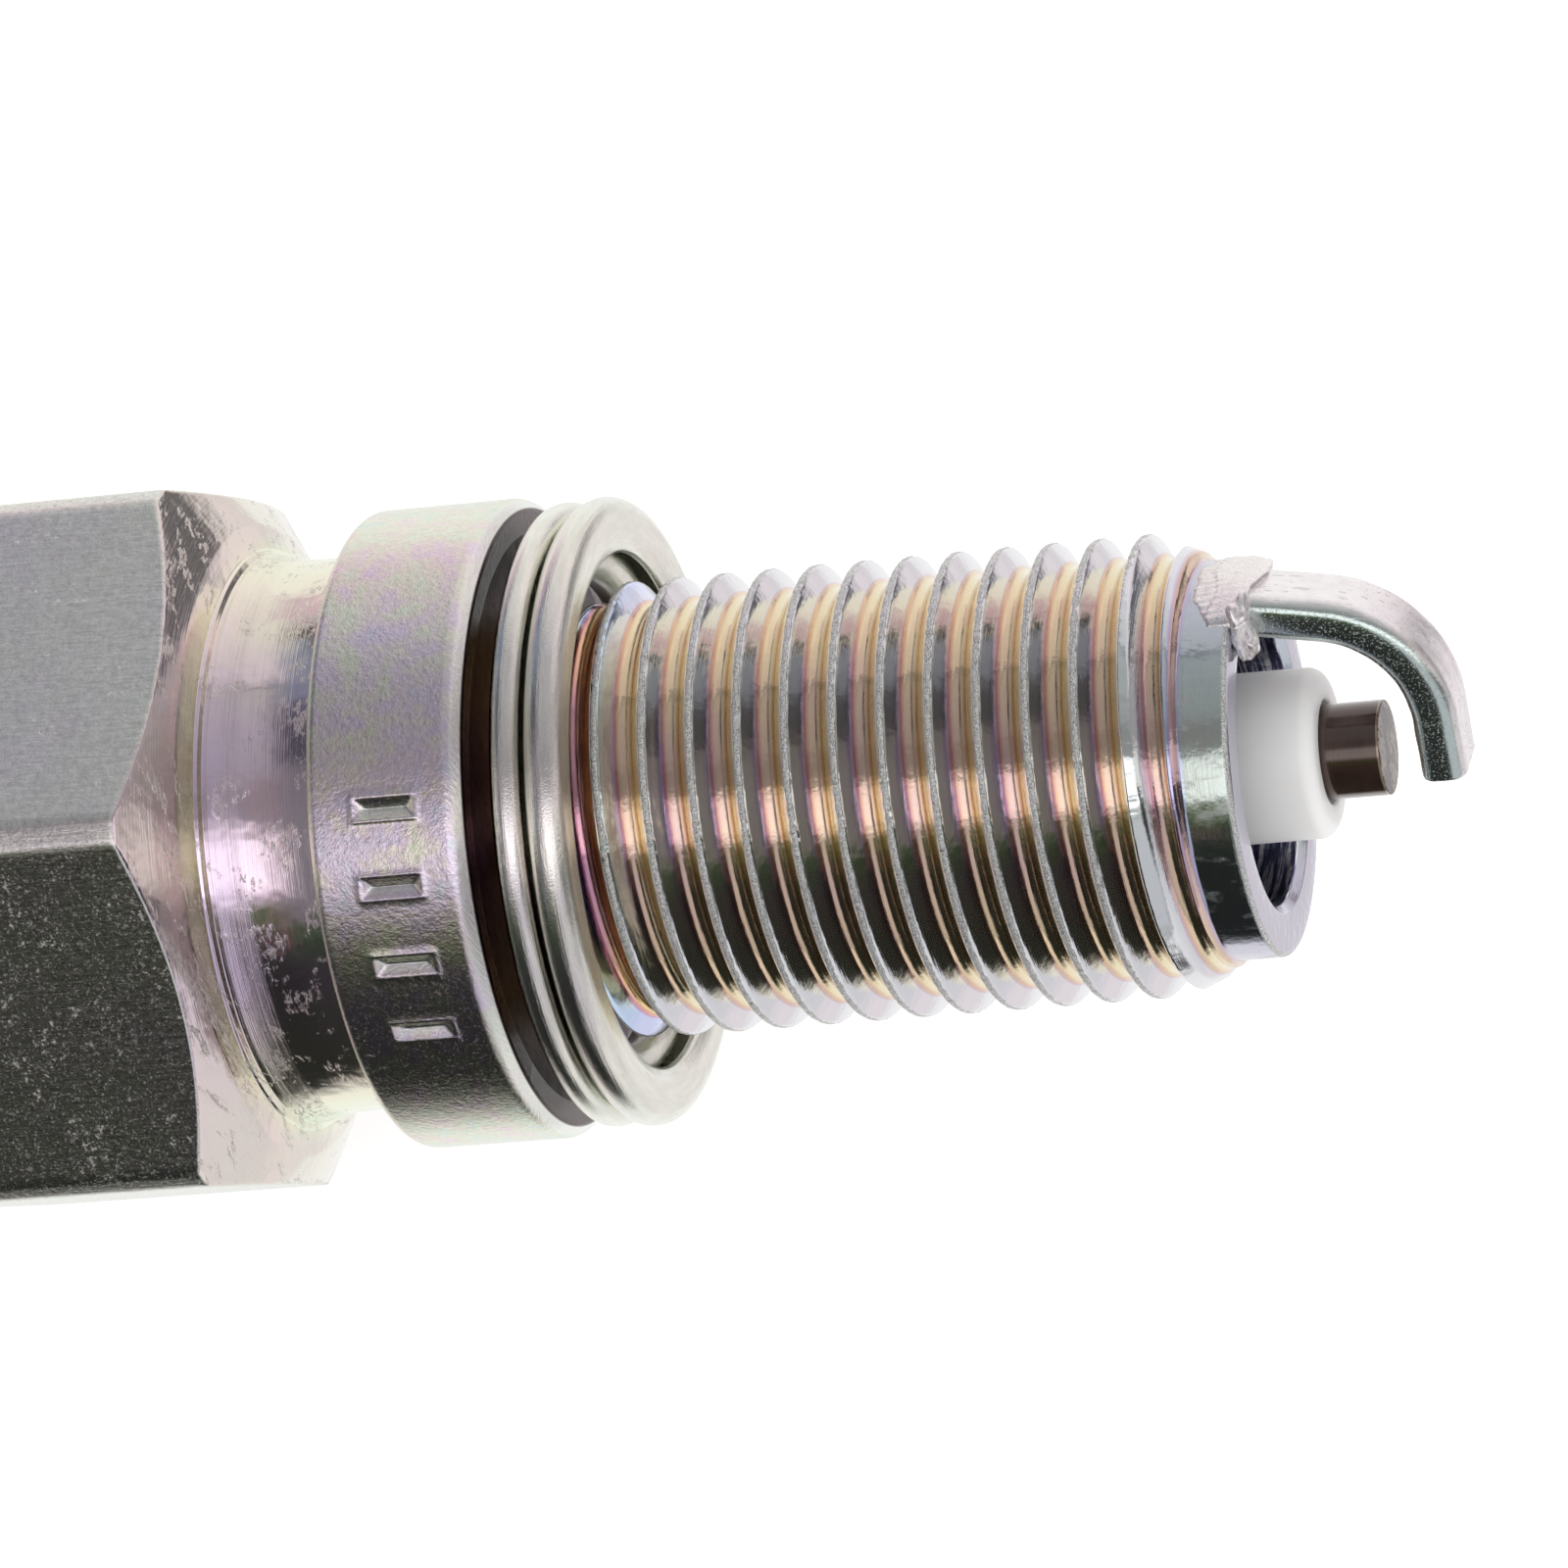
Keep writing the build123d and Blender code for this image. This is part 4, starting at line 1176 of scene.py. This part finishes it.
ROUND_BACK = [
    (-180, (1.0, 0.95, 0.95)), (-134, (0.95, 0.87, 0.88)), (-121, DARK), (-60, (0.035, 0.035, 0.038)),
    (-45, (0.035, 0.060, 0.035)), (-38, (0.060, 0.105, 0.055)), (-34, (0.19, 0.20, 0.21)),
    (0, (0.21, 0.22, 0.24)), (31, (0.17, 0.175, 0.195)), (37, (0.07, 0.077, 0.09)),
    (60, (0.08, 0.09, 0.11)), (66, (0.20, 0.24, 0.32)), (92, (0.24, 0.29, 0.40)), (95.5, 0.015),
    (102.5, 0.015), (104.5, (0.50, 0.38, 0.52)),
    (120, (0.76, 0.60, 0.72)), (128, (0.94, 0.86, 0.88)), (180, (1.0, 0.95, 0.95)),
]
# What it mirrors along the axis and to the far side, from straight below at 0 to straight above at 1.
UP_ALONG = [
    (0.0, 0.9), (0.12, 0.05), (0.44, 0.05), (0.465, (0.86, 0.84, 0.82)), (0.55, (0.92, 0.89, 0.87)),
    (0.58, (0.34, 0.32, 0.31)), (0.70, (0.38, 0.36, 0.35)), (0.76, (0.74, 0.72, 0.70)), (1.0, 1.0),
]
UP_FAR_SIDE = [
    (0.0, 0.95), (0.25, (0.80, 0.80, 0.82)), (0.45, (0.55, 0.55, 0.57)), (0.52, (0.30, 0.30, 0.32)),
    (0.68, (0.42, 0.41, 0.43)), (0.72, (0.12, 0.12, 0.13)), (0.75, (0.12, 0.12, 0.13)),
    (0.785, (0.80, 0.74, 0.77)), (1.0, (0.98, 0.94, 0.96)),
]


def mirrored_studio(g, direction, along):
    """Panels and cards of the studio, as the polished metal sees them."""
    toward = g.vector("DOT_PRODUCT", direction, tuple(TOWARD))
    upward = g.vector("DOT_PRODUCT", direction, tuple(UPWARD))
    turn = g.math("ARCTAN2", upward, toward)
    wander = (g.noise(direction, 2.2, 3.0) - 0.5) * 0.16
    around = (turn + wander) / TAU + 0.5
    front, back = (
        g.ramp(around, [(degrees / 360 + 0.5, colour) for degrees, colour in stops])
        for stops in (ROUND_FRONT, ROUND_BACK)
    )
    height = g.remap(upward, -1.0, 1.0, smooth=False)
    card = band(g, along, -0.335, -0.285, 0.006) * band(g, turn, -0.80, 0.45, 0.04)
    colour = g.mix(card, front, (0.36, 0.21, 0.20))
    colour = g.mix(g.remap(along, -0.384, -0.402), colour, back)
    lilac = band(g, along, -0.42, -0.286, 0.008) * band(g, turn, math.radians(103.5), math.radians(121), 0.03)
    colour = g.mix(lilac * 0.85, colour, (0.58, 0.40, 0.55))
    ends = g.ramp(height, UP_ALONG)
    colour = g.mix(g.remap(along, -0.82, -0.88), colour, ends)
    colour = g.mix(g.remap(along, 0.74, 0.88), colour, ends)
    away = 0.0 - toward
    sideways = g.remap(along, 0.12, 0.32) * g.remap(away, 0.02, 0.22)
    colour = g.mix(sideways, colour, g.ramp(height, UP_FAR_SIDE))
    colour = g.mix(sideways * g.remap(away, 0.76, 0.86), colour, (0.90, 0.84, 0.86))
    table = band(g, along, 0.10, 0.90, 0.06) * g.remap(upward, -0.30, -0.42)
    table = table * g.remap(away, 0.02, 0.16, 1.0, 0.0)
    return g.mix(table, colour, (0.60, 0.61, 0.64))


def build_world():
    """Soft light all round for dull surfaces, panels and cards for polished ones, white for the camera."""
    world = bpy.data.worlds.new("studio")
    bpy.context.scene.world = world
    world.use_nodes = True
    g = Graph(world.node_tree)
    direction = g.vector("NORMALIZE", g.node("ShaderNodeTexCoord").outputs["Generated"])
    along = g.vector("DOT_PRODUCT", direction, tuple(AXIS))
    upright = g.vector("DOT_PRODUCT", direction, (0.0, 0.0, 1.0))
    height = g.remap(upright, -1.0, 1.0, smooth=False)
    soft = g.ramp(height, [(0.0, (1.12, 1.11, 1.10)), (0.5, (1.02, 1.01, 1.0)), (1.0, 0.92)])
    soft = g.mix(1.0, soft, g.remap(along, -0.85, 0.05, 0.58, 1.0), "MULTIPLY")
    path = g.node("ShaderNodeLightPath")
    plain = g.mix(path.outputs["Is Camera Ray"], soft, 1.0)
    colour = g.mix(path.outputs["Is Glossy Ray"], plain, mirrored_studio(g, direction, along))
    background = g.filled("ShaderNodeBackground", {"Color": colour, "Strength": 1.0})
    g.node("ShaderNodeOutputWorld", {"Surface": background})
    world.cycles.sampling_method = "NONE"


def build_camera():
    """Long lens a hand's breadth away, looking down on the firing end."""
    angle, roll = math.radians(15.65), math.radians(4.835)
    distance, shift_x, shift_y = 223.48, 12.397, 0.693
    across = math.cos(angle) * AXIS - math.sin(angle) * TOWARD
    back = math.sin(angle) * AXIS + math.cos(angle) * TOWARD
    right = math.cos(roll) * across - math.sin(roll) * UPWARD
    up = math.sin(roll) * across + math.cos(roll) * UPWARD
    place = REACH * AXIS - shift_x * right - shift_y * up + distance * back
    data = bpy.data.cameras.new("camera")
    data.sensor_width = 36.0
    data.lens = 5.62 * data.sensor_width
    data.clip_start, data.clip_end = 0.01, 20.0
    camera = bpy.data.objects.new("camera", data)
    bpy.context.scene.collection.objects.link(camera)
    rows = [(*row, offset) for row, offset in zip(np.stack([right, up, back], -1), place * MM)]
    camera.matrix_world = Matrix([*rows, (0.0, 0.0, 0.0, 1.0)])
    bpy.context.scene.camera = camera


build_floor()
build_world()
build_camera()
bpy.context.scene.view_settings.view_transform = "Standard"
